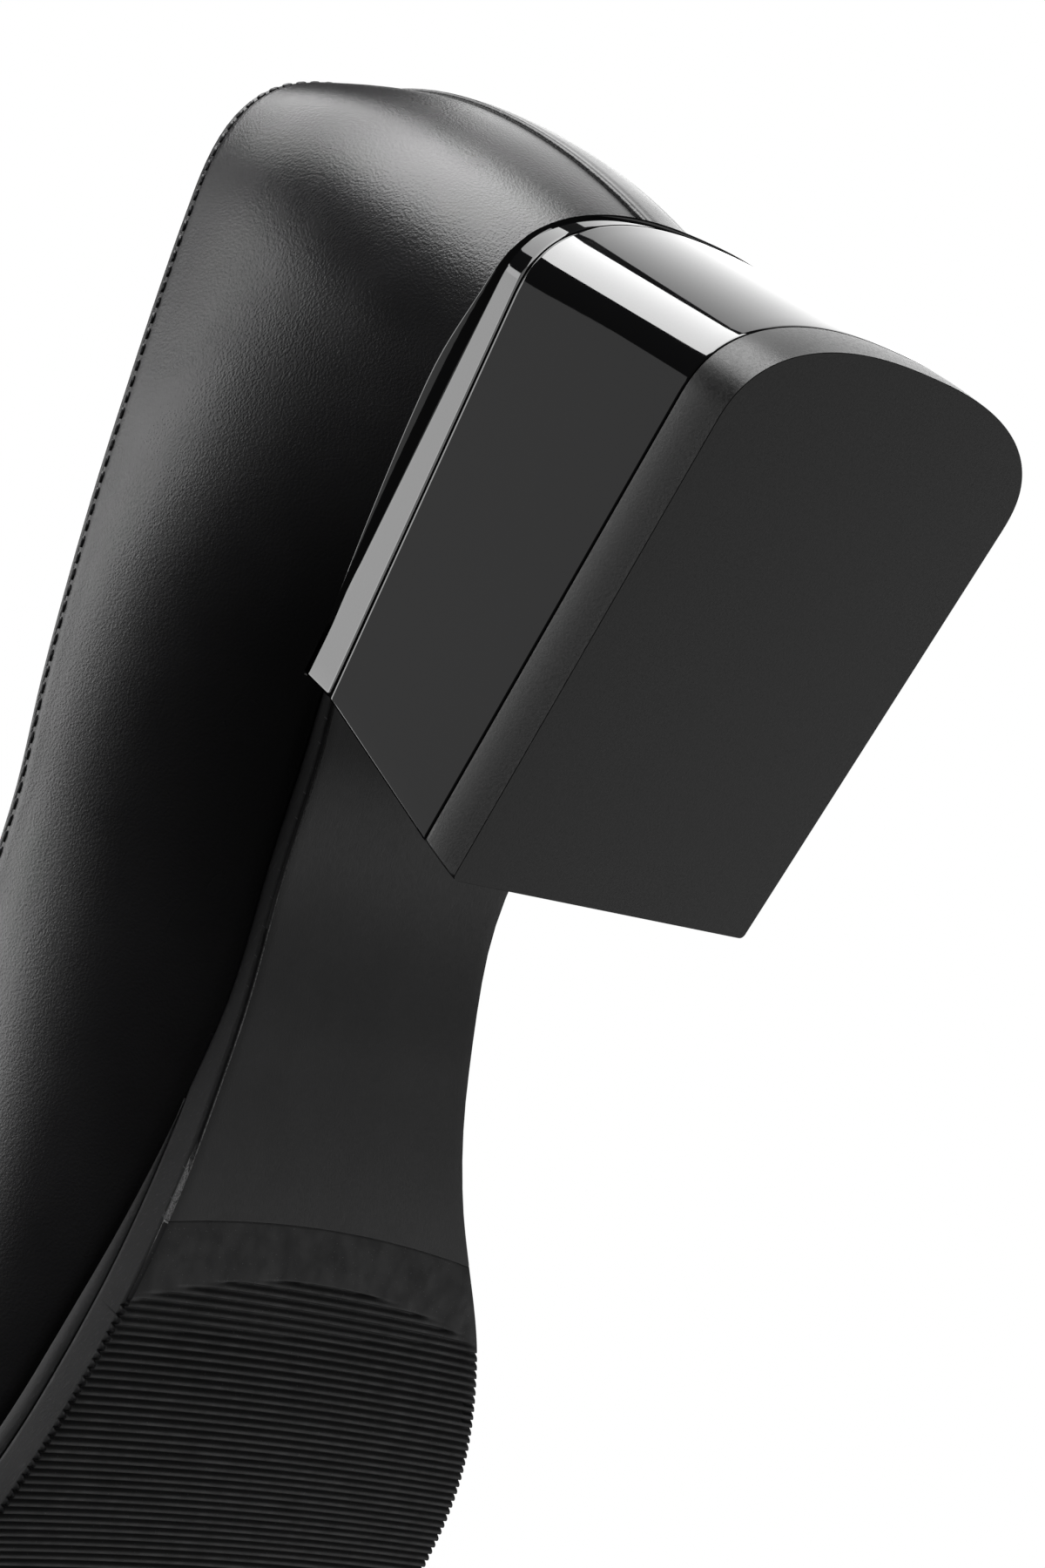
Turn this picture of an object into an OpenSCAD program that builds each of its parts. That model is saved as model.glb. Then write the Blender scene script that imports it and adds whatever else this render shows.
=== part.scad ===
// Block heel court shoe, left foot, built as its separate pieces.
// +X points to the toe, +Y to the outer side of the foot, +Z up. The origin is on the ground,
// under the middle of the box that the shoe fills.

/* [Heel] */
// Length of the top lift, from the back of the heel to the breast
heel_l = 64.5; // [62:0.5:67]
// Width of the heel at its back
heel_w = 53.6; // [52.6:0.2:56]
// Width of the heel at the breast
breast_w = 51.2; // [50.4:0.2:54]
// Thickness of the rubber top lift
lift_t = 5.5; // [4:0.5:7]
// Radius of the heel screw
screw_r = 2.0; // [1.6:0.1:2.4]

/* [Upper] */
// Thickness of the upper leather
leather_t = 1.1; // [0.9:0.1:1.3]
// Thickness of the stiffeners and the tape between leather and lining
stiff_t = 0.8; // [0.6:0.1:1.0]
// Thickness of the lining
lining_t = 0.8; // [0.6:0.1:1.0]
// Width of the margin that is turned in over the insole board
margin_w = 8; // [6:0.5:9]

/* [Sole] */
// Thickness of the insole board
board_t = 2.0; // [1.6:0.1:2.4]
// Thickness of the sock lining
sock_t = 1.2; // [0.8:0.1:1.4]
// Thickness of the foam cushion under the heel, at its middle
cushion_t = 2.4; // [1.6:0.1:3]
// Thickness of the welt under the forepart
welt_t = 2.2; // [1.6:0.1:2.4]
// Thickness of the waist cover
cover_t = 0.8; // [0.5:0.1:1.0]

/* [Hidden] */
$fn = 24;

// ---- the last, as tables read along the shoe ---------------------------------------------------
// Each table holds [distance from the back of the heel, value] and is read with a smooth curve.
// Sections stand square to the shoe between heel_c and toe_c and fan out round those two points at
// the ends, where the distance stands for the angle.
heel_c = 27;
toe_c = 212;
toe_x = 246;
throat_x = 160;
// Half width at the feather edge, where the upper turns under, outer and inner side
feather_out = [[0, 22.8], [27, 23.6], [45, 23], [65, 19.8], [85, 20.2], [105, 25], [125, 31],
    [145, 35], [165, 35.5], [190, 32.5], [212, 28.5], [232, 29.5], [246, 33]];
feather_in = [[0, 22.8], [27, 23.6], [45, 22.8], [65, 19.6], [85, 17], [105, 19], [125, 29],
    [145, 36.4], [165, 38.2], [190, 35.5], [212, 30.5], [232, 30.5], [246, 33]];
// How far the sole stands out beyond the feather edge
sole_edge = [[0, 0], [60, 0.1], [100, 0.3], [130, 1.3], [246, 1.2]];
// Height of the underside of the sole
under_z = [[0, 31.6], [27, 30.9], [50, 29.8], [59, 28.9], [66, 27.1], [80, 23], [95, 15.6], [110, 8.2],
    [122, 3.4], [134, 0.7], [146, 0], [175, 0], [195, 1], [212, 2.8], [246, 8.5]];
// Thickness of all that lies under the upper
sole_t = [[0, 1], [50, 1.2], [64, 2.2], [90, 2.6], [110, 5], [130, 6.4], [246, 6.2]];
// Share of the welt in that thickness: it starts as a thin edge in the waist
welt_share = [[102, 0.1], [128, 1], [246, 1]];
welt_x = 102;
// Half width of the topline before it closes at the throat
top_out = [[0, 18], [10, 21.9], [27, 24.6], [45, 27.8], [65, 29.6], [90, 30], [160, 28.5]];
top_in = [[0, 18], [10, 21.7], [27, 24.2], [45, 27], [65, 28.4], [90, 28.6], [160, 29]];
// Height of the topline and, ahead of the throat, of the ridge of the vamp
top_z = [[0, 81.7], [12, 82.9], [27, 78.2], [45, 70.4], [60, 64.5], [76, 58.3], [90, 52.7], [110, 48.5],
    [135, 47.5], [150, 49.5], [160, 50.5], [170, 47], [190, 38], [212, 29]];
// Steepness of the wall at the feather edge
foot_out = [[0, 76], [27, 74], [45, 60], [65, 38], [85, 34], [105, 45], [145, 66], [190, 74], [246, 76]];
foot_in = [[0, 76], [27, 74], [45, 60], [65, 40], [85, 32], [105, 34], [125, 58], [165, 74], [246, 76]];
// Steepness of the wall at the topline: level where the two sides meet
head_a = [[0, 56], [12, 66], [27, 76], [65, 80], [100, 80], [130, 62], [145, 42], [155, 20], [160, 0],
    [246, 0]];
// Length of a section's handles as a part of its chord, at the foot and at the head
foot_k = [[0, 0.36], [65, 0.42], [145, 0.36], [190, 0.36], [246, 0.4]];
head_k = [[0, 0.3], [65, 0.34], [130, 0.34], [160, 0.4], [212, 0.42]];
// The curve that closes the topline at the throat starts at arch_x
arch_x = 96;
arch_power = 2.6;          // and a higher power makes it squarer

// Slope of a table at one of its points
function slope(t, i) = let (a = max(i - 1, 0), b = min(i + 1, len(t) - 1))
    (t[b][1] - t[a][1]) / (t[b][0] - t[a][0]);
// The span of a table that a distance falls in
function span(t, x, i = 0) = i >= len(t) - 2 || x < t[i + 1][0] ? i : span(t, x, i + 1);
// A table read at a distance: a cubic between its points, level past its ends
function at(t, x) = let (
        i = span(t, x), h = t[i + 1][0] - t[i][0], u = min(max((x - t[i][0]) / h, 0), 1), w = 1 - u)
    t[i][1] * (1 + 2 * u) * w * w + slope(t, i) * h * u * w * w
    + t[i + 1][1] * u * u * (3 - 2 * u) - slope(t, i + 1) * h * u * u * w;

// ---- sections ----------------------------------------------------------------------------------
// A section is [distance, side], side 1 outer and -1 inner. Its foot is on the middle line and
// heading is the way it looks.
function foot(x) = x < heel_c ? heel_c : min(x, toe_c);
function heading(x) = x < heel_c ? let (c = 1 - x / heel_c) [-c, sqrt(1 - c * c)]
    : x > toe_c ? let (s = (x - toe_c) / (toe_x - toe_c)) [s, sqrt(max(1 - s * s, 0))] : [0, 1];
// The point of a section at distance q[0] from the middle line and height q[1]
function put(s, q) = let (h = heading(s[0])) [foot(s[0]) + q[0] * h[0], s[1] * q[0] * h[1], q[1]];
function feather_r(s) = at(s[1] > 0 ? feather_out : feather_in, s[0]);
// Height of the underside of the sole and of the feather edge at a place along the shoe
function under(x) = max(at(under_z, x), 0);
function rest(x) = under(x) + at(sole_t, x);
function arch(x) = x <= arch_x ? 1 : x >= throat_x ? 0
    : sqrt(1 - pow((x - arch_x) / (throat_x - arch_x), arch_power));
function top_r(s) = at(s[1] > 0 ? top_out : top_in, s[0]) * arch(s[0]);
function foot_a(s) = at(s[1] > 0 ? foot_out : foot_in, s[0]);
// The four handles of a section's curve, from the feather edge to the topline or the ridge
function handles(s) = let (
        x = s[0], rf = feather_r(s), a = foot_a(s), b = at(head_a, x),
        p = [rf, rest(put(s, [rf, 0])[0])], q = [top_r(s), at(top_z, x)], l = norm(q - p),
        fall = slope(top_z, len(top_z) - 1) * heading(x)[0])
    [p, p + l * at(foot_k, x) * [cos(a), sin(a)],
        q + l * at(head_k, x) * (x < throat_x ? [cos(b), -sin(b)] : [1, fall]), q];
function bez(p, v) = let (w = 1 - v)
    w * w * w * p[0] + 3 * w * w * v * p[1] + 3 * w * v * v * p[2] + v * v * v * p[3];
function bez_dir(p, v) = let (w = 1 - v,
        d = w * w * (p[1] - p[0]) + 2 * w * v * (p[2] - p[1]) + v * v * (p[3] - p[2]))
    d / norm(d);
// A point of the upper: part v of the way up a section with handles p, at depth d under the outer
// face. v below 0 is the margin turned in under the foot, and 0 the corner that it turns round.
function skin(s, p, v, d) =
    v < 0 ? let (r = p[0][0] - margin_w) put(s, [r, rest(put(s, [r, 0])[0]) + d])
    : v == 0 ? put(s, p[0] + d * [-tan(foot_a(s) / 2), 1])
    : let (t = bez_dir(p, v)) put(s, bez(p, v) - d * [t[1], -t[0]]);
// The part of the way up at which a point lies g millimetres below the topline
function below(p, g) = 1 - g / (3 * norm(p[3] - p[2]));

// Distances of the sections: fans at heel and toe, closer together towards the throat
heel_fan = [for (i = [0:5]) heel_c * (1 - cos(90 * i / 6))];
open_run = [for (i = [0:12]) heel_c + (throat_x - heel_c) * sin(90 * i / 13)];
shut_run = [for (i = [0:5]) throat_x + (toe_c - throat_x) * i / 6];
toe_fan = [for (i = [0:7]) toe_c + (toe_x - toe_c) * sin(90 * i / 7)];
stops = concat(heel_fan, open_run, shut_run, toe_fan);
// The stops between two distances, with both ends
function between(x0, x1) = concat([x0], [for (x = stops) if (x > x0 + 0.5 && x < x1 - 0.5) x], [x1]);
function turned(a) = [for (i = [len(a) - 1:-1:0]) a[i]];
function lateral(x0, x1) = [for (x = between(x0, x1)) [x, 1]];
function medial(x0, x1) = [for (x = turned(between(x0, x1))) [x, -1]];
// Sections round the toe from x0 on the outer side to x1 on the inner side, and round the heel
function round_toe(x0, x1) = let (m = medial(x1, toe_x)) concat(lateral(x0, toe_x),
    [for (i = [1:len(m) - 1]) m[i]]);
function round_heel(x0, x1) = let (o = lateral(0, x1)) concat(medial(0, x0),
    [for (i = [1:len(o) - 1]) o[i]]);

// ---- closed sheets -----------------------------------------------------------------------------
// Two triangles of a quad, without those that have shrunk to a line
function quad(a, b, c, d) = [for (t = [[a, b, c], [a, c, d]])
    if (t[0] != t[1] && t[1] != t[2] && t[2] != t[0]) t];
// A solid between two grids of points with the same rows. weld gives the number of the point that
// stands for a grid place, and shut says where the last column is joined to itself, with no edge.
module sheet(top, low, weld = function(i, j, m) i * m + j, shut = function(i) false) {
    n = len(top);
    m = len(top[0]);
    k = n * m;
    w = [for (i = [0:n - 1]) [for (j = [0:m - 1]) weld(i, j, m)]];
    polyhedron(concat([for (r = top) each r], [for (r = low) each r]), concat(
        [for (i = [0:n - 2], j = [0:m - 2])
            each quad(w[i][j], w[i + 1][j], w[i + 1][j + 1], w[i][j + 1])],
        [for (i = [0:n - 2], j = [0:m - 2])
            each quad(k + w[i][j], k + w[i][j + 1], k + w[i + 1][j + 1], k + w[i + 1][j])],
        [for (i = [0:n - 2]) each quad(w[i][0], w[i][0] + k, w[i + 1][0] + k, w[i + 1][0])],
        [for (i = [0:n - 2]) if (!shut(i))
            each quad(w[i][m - 1], w[i + 1][m - 1], w[i + 1][m - 1] + k, w[i][m - 1] + k)],
        [for (j = [0:m - 2]) each quad(w[0][j], w[0][j + 1], w[0][j + 1] + k, w[0][j] + k)],
        [for (j = [0:m - 2])
            each quad(w[n - 1][j], w[n - 1][j] + k, w[n - 1][j + 1] + k, w[n - 1][j + 1])]));
}
// A piece of the upper over a row of sections. levels gives the heights up the section, d0 and d1
// the depths of its outer and inner face. Ahead of the throat the two sides are joined on the
// ridge, and round the toe all the sections end in one point.
module wall(secs, levels, d0, d1) {
    tip = max([0, each [for (i = [0:len(secs) - 1]) if (secs[i][0] == toe_x) i]]);
    far = [for (i = [0:len(secs) - 1]) if (secs[i][0] >= toe_c) i];
    last = len(far) > 0 ? far[0] : 0;
    h = [for (s = secs) handles(s)];
    full = levels(h[0])[len(levels(h[0])) - 1] == 1;
    sheet([for (i = [0:len(secs) - 1]) [for (v = levels(h[i])) skin(secs[i], h[i], v, d0)]],
        [for (i = [0:len(secs) - 1]) [for (v = levels(h[i])) skin(secs[i], h[i], v, d1)]],
        function(i, j, m) full && j == m - 1 && secs[i][0] >= throat_x
            ? min(i <= tip ? i : 2 * tip - i, last) * m + j : i * m + j,
        function(i) full && secs[i][0] >= throat_x && secs[i + 1][0] >= throat_x);
}
// Heights from the turned-in margin to the top in n steps
function whole(n) = function(p) concat([-1], [for (j = [0:n]) j / n]);
// A flat piece of the bottom between two distances. Its edge stands grow(section) beyond the
// feather edge, and low and high give its faces at a place and at a part across, -1 to 1. bow
// curves its front end.
module plate(x0, x1, grow, low, high, n = 4, bow = function(x, u) 0) {
    xs = between(x0, x1);
    tips = [x0 == 0, x1 == toe_x];
    function row(x, f) = let (
            a = put([x, 1], [feather_r([x, 1]) + grow([x, 1]), 0]),
            b = put([x, -1], [feather_r([x, -1]) + grow([x, -1]), 0]))
        [for (j = [0:n]) let (u = 1 - 2 * j / n, q = a * (1 + u) / 2 + b * (1 - u) / 2,
            qx = q[0] + bow(x, u)) [qx, q[1], f(qx, u)]];
    sheet([for (x = xs) turned(row(x, high))], [for (x = xs) turned(row(x, low))],
        function(i, j, m) tips[0] && i == 0 || tips[1] && i == len(xs) - 1 ? i * m : i * m + j);
}
// An upright pin from z0 to z1
module pin(x, y, r, z0, z1) translate([x, y, z0]) cylinder(r = r, h = z1 - z0);

// ---- upper -------------------------------------------------------------------------------------
seam_x = 100;              // side seam of the inner waist
lining_x = 112;            // joint between the two linings
lining_d = leather_t + stiff_t;
inside_d = lining_d + lining_t;
stay_x = 0.5;              // half width of the back stay, as a distance round the heel
stay_t = 0.5;              // thickness of the back stay
stay_v = 0.06;             // part of the way up where it starts
thread_t = 0.35;           // how far the thread stands out
thread_w = 0.5;            // width of a row of stitching
stitch_g = 1.2;            // distance of the stitching from the edge
seam_v = [0.04, 0.96];     // parts of the way up between which the side seam is stitched
tape_g = [9, 4.5, 0.4];    // distances of the tape's rows from the topline
counter_x = 62;            // how far the counter reaches forward
counter_v = 0.8;           // and up
puff_x = 206;              // how far back the toe puff reaches
puff_v = [0.06, 0.25, 0.45, 0.65, 0.82, 1];
rows_n = 8;                // steps up a narrow strip

module vamp() color("#262628") wall(round_toe(0, seam_x), whole(9), 0, leather_t);
module medial_quarter() color("#262628") wall(medial(0, seam_x), whole(9), 0, leather_t);
// Heights from a to b in even steps
function strip_of(a, b) = function(p) [for (j = [0:rows_n]) a + (b - a) * j / rows_n];
module back_stay() color("#222224")
    wall([[stay_x, -1], [stay_x / 4, -1], [0, 1], [stay_x / 4, 1], [stay_x, 1]], strip_of(stay_v, 1), -stay_t, 0);
module topline_thread() color("#101012") wall(round_heel(throat_x - 1, throat_x - 1),
    function(p) [below(p, stitch_g + thread_w), below(p, stitch_g)], -thread_t, 0);
module seam_thread() color("#101012") for (x = [seam_x + stitch_g, seam_x + 2.5 * stitch_g])
    wall([[x + thread_w, -1], [x, -1]], strip_of(seam_v[0], seam_v[1]), -thread_t, 0);
module topline_tape() color("#8c8c88") wall(round_heel(throat_x - 3, throat_x - 3),
    function(p) [for (g = tape_g) below(p, g)], leather_t, lining_d);
module toe_puff() color("#b8aa8c")
    wall(round_toe(puff_x, puff_x), function(p) puff_v, leather_t, lining_d);
module heel_counter() color("#b8aa8c") wall(round_heel(counter_x, counter_x),
    function(p) concat([-1], [for (j = [0:4]) counter_v * j / 4]), leather_t, lining_d);
module vamp_lining() color("#c9b79a") wall(round_toe(lining_x, lining_x), whole(6), lining_d, inside_d);
module quarter_lining() color("#c9b79a") wall(round_heel(lining_x, lining_x), whole(6), lining_d, inside_d);

// ---- bottom ------------------------------------------------------------------------------------
cushion_x = 70;            // length of the heel cushion
cushion_gap = 2;           // and how far it stays clear of the ends of the dome
cushion_fill = 0.9;        // part of the dome that it fills
clear = 0.15;              // room between the lining and the pieces inside it
// Edge of the pieces inside the lining
function inside(s) = -inside_d * tan(foot_a(s) / 2) - clear;
// Height of the cushion at a place, domed from its edge
function dome(x, u) = x >= cushion_x ? 0
    : cushion_t * (1 - u * u) * (1 - pow(2 * x / cushion_x - 1, 4));
board_z = inside_d;
sock_z = board_z + board_t;
bore_top = 60;             // above every bore through the bottom
nails = [[14, 0], [22, 14], [22, -14], [40, 15], [40, -15]];
nail_r = 0.9;
screw_x = 33;
rivets = [[46, 1.6], [108, 1.6]];
rivet_foot = 0.2;          // how far a rivet stands out under the shank

module sock_lining() color("#c9b79a") plate(0, toe_x, function(s) inside(s),
    function(x, u) rest(x) + sock_z + dome(x, u), function(x, u) rest(x) + sock_z + sock_t + dome(x, u), 6);
module heel_cushion() color("#e6d9a8")
    plate(cushion_gap, cushion_x - cushion_gap, function(s) inside(s) - 1, function(x, u) rest(x) + sock_z,
        function(x, u) rest(x) + sock_z + dome(x, u) * cushion_fill + 0.02, 6);
module insole_board() color("#9c7f5a") difference() {
    plate(0, toe_x, function(s) inside(s), function(x, u) rest(x) + board_z, function(x, u) rest(x) + sock_z);
    for (r = rivets) pin(r[0], 0, r[1], 0, bore_top);
    for (n = nails) pin(n[0], n[1], nail_r, 0, bore_top);
}
shank_x = [34, 118];
shank_w = 5;               // half width of the shank
shank_t = 1.2;
shank_z = board_z - 0.2;   // height of its top over the feather edge
arch_fall = 0.05;          // how much it falls for each millimetre to the side
// A face of the shank, down below its top
function shank_face(down) = [for (x = [shank_x[0]:6:shank_x[1]]) [for (y = [-shank_w, 0, shank_w])
    [x, y, rest(x) + shank_z - down - arch_fall * abs(y)]]];
module shank() color("#8a9098") difference() {
    sheet(shank_face(0), shank_face(shank_t));
    for (r = rivets) pin(r[0], 0, r[1], 0, bore_top);
    pin(screw_x, 0, screw_r, 0, bore_top);
}
module shank_rivets() color("#b4a878") for (r = rivets) {
    pin(r[0], 0, r[1], rest(r[0]) + shank_z - shank_t - rivet_foot, rest(r[0]) + sock_z);
}
filler_x = [122, 236];
filler_gap = 0.6;          // between the filler and the turned-in margin
module bottom_filler() color("#7d5f3e")
    plate(filler_x[0], filler_x[1], function(s) -margin_w - filler_gap,
        function(x, u) rest(x) + 0.05, function(x, u) rest(x) + board_z - 0.1);
module welt() color("#1c1c1d") plate(welt_x, toe_x, function(s) at(sole_edge, s[0]),
    function(x, u) rest(x) - welt_t * at(welt_share, x), function(x, u) rest(x));
module outsole() color("#2a2a2b") difference() {
    plate(0, toe_x, function(s) at(sole_edge, s[0]), function(x, u) under(x) + cover_h(x, u),
        function(x, u) rest(x) - (x < welt_x ? 0 : welt_t * at(welt_share, x)), 8);
    for (n = nails) pin(n[0], n[1], nail_r, 0, bore_top);
    pin(screw_x, 0, screw_r, 0, bore_top);
}
// The waist cover is a thin skin that runs in under the heel seat and ends in a fine arc
cover_x0 = 42;
cover_x1 = 111;
cover_fade = 9;
cover_edge = 0.06;         // thickness that it keeps at its ends
function cover_end(u) = cover_x1 + 1.5 * pow(u - 0.35, 2);
function cover_h(x, u) = cover_t
    * max(0, min(1, (x - cover_x0) / cover_fade, (cover_end(u) - x) / cover_fade));
module waist_cover() color("#343436") plate(cover_x0, cover_x1, function(s) at(sole_edge, s[0]),
    function(x, u) under(x), function(x, u) under(x) + max(cover_h(x, u), cover_edge), 8,
    function(x, u) x < cover_x1 ? 0 : cover_end(u) - cover_x1);

// ---- heel --------------------------------------------------------------------------------------
corner_l = 12;             // length of the rounded back of the heel's outline
corner_p = 2.45;           // power of that curve
breast_lean = 0.19;        // how far the breast moves back for each millimetre of height
back_lean = 0.07;          // how far the back moves forward for each millimetre above the lift
groove_z0 = 31.1;          // height of the joint between block and seat band at the back
groove_fall = 0.1014;      // and how much it falls for each millimetre forward
seam_g = 0.35;             // depth of the groove there
outline_n = 12;
function groove(x) = groove_z0 - groove_fall * x;
// Outline of the heel at height z, pushed out by g: rounded back, straight sides
function half_outline(z, g) = let (
        b = back_lean * max(z - lift_t, 0), f = heel_l - breast_lean * z, l = corner_l + g)
    concat([for (i = [0:outline_n]) let (t = 90 * i / outline_n)
            [b - g + l * (1 - pow(cos(t), 2 / corner_p)), (heel_w / 2 + g) * pow(sin(t), 2 / corner_p)]],
        [for (i = [1:6]) let (u = i / 6)
            [(b - g + l) * (1 - u) + f * u, heel_w / 2 * (1 - u) + breast_w / 2 * u + g]]);
function outline(z, g) = let (h = half_outline(z, g))
    concat(turned(h), [for (i = [1:len(h) - 1]) [h[i][0], -h[i][1]]]);
// A ring of the heel: the outline at height z, with its own height at each point
function ring(z, g, h) = [for (p = outline(z, g)) [p[0], p[1], h(p[0])]];
// A solid of rings, closed by fans of triangles to the middle of the first and the last
function centre(r) = let (n = len(r)) [for (k = [0:2]) [for (p = r) p[k]] * [for (p = r) 1 / n]];
module rings_solid(rs) {
    n = len(rs);
    m = len(rs[0]);
    polyhedron(concat([for (r = rs) each r], [centre(rs[0]), centre(rs[n - 1])]), concat(
        [for (j = [0:m - 1]) [n * m, j, (j + 1) % m]],
        [for (j = [0:m - 1]) [n * m + 1, (n - 1) * m + (j + 1) % m, (n - 1) * m + j]],
        [for (i = [0:n - 2], j = [0:m - 1]) let (a = i * m + j, b = i * m + (j + 1) % m)
            each [[a, a + m, b], [b, a + m, b + m]]]));
}
// Height of the flat strip of the seat band, and of the lip above it, which swells at the sides
strip_w = 1.56;            // height of the flat strip at the back
strip_grow = 0.039;        // and how much it grows for each millimetre forward
function strip(x) = groove(x) + strip_w + strip_grow * x;
lip_z = [[1, 33], [7, 33.1], [14, 33.5], [23, 34.4], [30, 33.9], [40, 32.5], [50, 30.8], [60, 28.9]];
function lip(x) = max(at(lip_z, x), strip(x) + 0.1);
// The rings of the seat band: outline pushed out by the first value, at a height made of parts
function band(g, part, rise = 0) = ring(seat_z, g, function(x)
    part < 1 ? groove(x) + rise : strip(x) * (2 - part) + lip(x) * (part - 1));
seat_z = 30;               // height at which the outline is taken for the whole band

module heel_seat_band() color("#1a1a1c") difference() {
    rings_solid([
        band(-seam_g, 0), band(-seam_g, 0, 0.3), band(0, 0, 0.45), band(0.35, 1), band(0.45, 1.4), band(0, 1.8),
        band(-0.8, 2),
        ring(seat_z, -1.9, function(x) max(lip(x) - 0.3, under(x) + 0.05)),
        ring(seat_z, -2.2, function(x) under(x))]);
    for (n = nails) pin(n[0], n[1], nail_r, 0, bore_top);
    pin(screw_x, 0, screw_r, 0, bore_top);
}
module heel_block() color("#202023") difference() {
    rings_solid([ring(lift_t, 0, function(x) lift_t), ring(seat_z - 1, 0, function(x) groove(x) - 0.3),
        band(-seam_g, 0)]);
    for (p = lift_pins) pin(p[0], p[1], pin_r, 0, pin_top);
    for (n = nails) pin(n[0], n[1], nail_r, nail_z, bore_top);
    pin(screw_x, 0, screw_r, screw_z, bore_top);
}
lift_pins = [[10, 14], [10, -14], [50, 17], [50, -17]];
pin_r = 1.6;
pin_top = 15;              // height of the pins' upper end
pin_foot = 1.6;            // height of their lower end
nail_z = 17;               // height of the nails' points
screw_z = 8;               // height of the screw's point
head_r = 3.8;              // radius of the screw's head
head_t = 1.0;
module top_lift() color("#2b2b2b") difference() {
    linear_extrude(lift_t) polygon(outline(0, 0));
    translate([heel_l, 0, 0]) rotate([0, -atan(breast_lean), 0])
        translate([0, -heel_w, -lift_t]) cube([heel_w, 2 * heel_w, 4 * lift_t]);
    for (p = lift_pins) pin(p[0], p[1], pin_r, pin_foot, pin_top);
}
module top_lift_pins() color("#9a9da2") for (p = lift_pins) pin(p[0], p[1], pin_r, pin_foot, pin_top);
module heel_screw() color("#9a9da2") {
    pin(screw_x, 0, screw_r, screw_z, rest(screw_x) + 0.2);
    pin(screw_x, 0, head_r, rest(screw_x) + 0.2, rest(screw_x) + 0.2 + head_t);
}
module heel_nails() color("#9a9da2") for (n = nails) {
    pin(n[0], n[1], nail_r, nail_z, rest(n[0]) + sock_z);
}

// ---- assembly ----------------------------------------------------------------------------------
// The middle of the shoe's outline box, which becomes the origin
middle = [123.1, -1.07];
module placed() translate([-middle[0], -middle[1], 0]) children();

placed() vamp();
placed() medial_quarter();
placed() back_stay();
placed() topline_thread();
placed() seam_thread();
placed() topline_tape();
placed() toe_puff();
placed() heel_counter();
placed() vamp_lining();
placed() quarter_lining();
placed() sock_lining();
placed() heel_cushion();
placed() insole_board();
placed() shank();
placed() shank_rivets();
placed() bottom_filler();
placed() welt();
placed() outsole();
placed() waist_cover();
placed() heel_seat_band();
placed() heel_block();
placed() top_lift();
placed() top_lift_pins();
placed() heel_screw();
placed() heel_nails();
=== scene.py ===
"""The looks of a block heel court shoe, built round its frame: leather, lining, sole and heel."""

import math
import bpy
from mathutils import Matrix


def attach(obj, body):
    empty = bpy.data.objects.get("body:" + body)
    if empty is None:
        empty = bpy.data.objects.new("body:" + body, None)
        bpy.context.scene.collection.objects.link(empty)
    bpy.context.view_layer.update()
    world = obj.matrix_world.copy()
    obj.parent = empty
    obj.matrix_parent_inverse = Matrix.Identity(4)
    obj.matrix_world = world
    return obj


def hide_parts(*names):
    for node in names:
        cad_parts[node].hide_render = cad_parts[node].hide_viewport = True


bl_info = {
    "name": "Court Shoe Looks",
    "version": (1, 0, 0),
    "blender": (4, 5, 0),
    "location": "View3D > Sidebar > Shoe",
    "description": "Builds the leather, the sole and the heel of a court shoe round its packed frame",
    "category": "Object",
}

import bmesh
import bpy
import numpy as np
from bpy.props import FloatProperty, FloatVectorProperty, PointerProperty
from bpy.types import Operator, Panel, PropertyGroup
from mathutils import Matrix, Vector

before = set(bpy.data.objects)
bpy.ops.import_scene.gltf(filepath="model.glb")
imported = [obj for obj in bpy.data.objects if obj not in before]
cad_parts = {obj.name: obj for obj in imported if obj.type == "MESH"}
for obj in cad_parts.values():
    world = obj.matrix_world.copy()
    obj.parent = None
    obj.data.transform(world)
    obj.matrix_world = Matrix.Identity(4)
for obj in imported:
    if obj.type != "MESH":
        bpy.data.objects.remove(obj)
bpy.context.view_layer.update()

MM = 0.001
# Middle of the shoe's outline box, counted from the back of the heel and the middle line, in mm
MIDDLE = np.array([123.1, -1.07, 0.0])

# ---- the last --------------------------------------------------------------------------------
# Tables read along the shoe: [distance from the back of the heel, value], in mm or degrees. The
# sections stand square to the shoe between HEEL_C and TOE_C and fan out round those points beyond.
HEEL_C, TOE_C, TOE_X, THROAT_X, ARCH_X, ARCH_POWER = 27.0, 212.0, 246.0, 160.0, 96.0, 2.6
# Between these distances a section changes to one cut from a whole arch over the foot
CUT_X0, CUT_X1 = 128, 156
FEATHER = {
    1: [[0, 22.8], [27, 23.6], [45, 23], [65, 19.8], [85, 20.2], [105, 25], [125, 31],
        [145, 35], [165, 35.5], [190, 32.5], [212, 28.5], [232, 29.5], [246, 33]],
    -1: [[0, 22.8], [27, 23.6], [45, 22.8], [65, 19.6], [85, 17], [105, 19], [125, 29],
         [145, 36.4], [165, 38.2], [190, 35.5], [212, 30.5], [232, 30.5], [246, 33]],
}
SOLE_EDGE = [[0, 0], [60, 0.1], [100, 0.3], [130, 1.3], [246, 1.2]]
UNDER_Z = [[0, 31.6], [27, 30.9], [50, 29.8], [59, 28.9], [66, 27.1], [80, 23], [95, 15.6],
           [110, 8.2], [122, 3.4], [134, 0.7], [146, 0], [175, 0], [195, 1], [212, 2.8], [246, 8.5]]
SOLE_T = [[0, 1], [50, 1.2], [64, 2.2], [90, 2.6], [110, 5], [130, 6.4], [246, 6.2]]
WELT_SHARE = [[102, 0.1], [128, 1], [246, 1]]
TOP_R = {
    1: [[0, 18], [10, 21.9], [27, 24.6], [45, 27.8], [65, 29.6], [90, 30], [160, 28.5]],
    -1: [[0, 18], [10, 21.7], [27, 24.2], [45, 27], [65, 28.4], [90, 28.6], [160, 29]],
}
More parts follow.
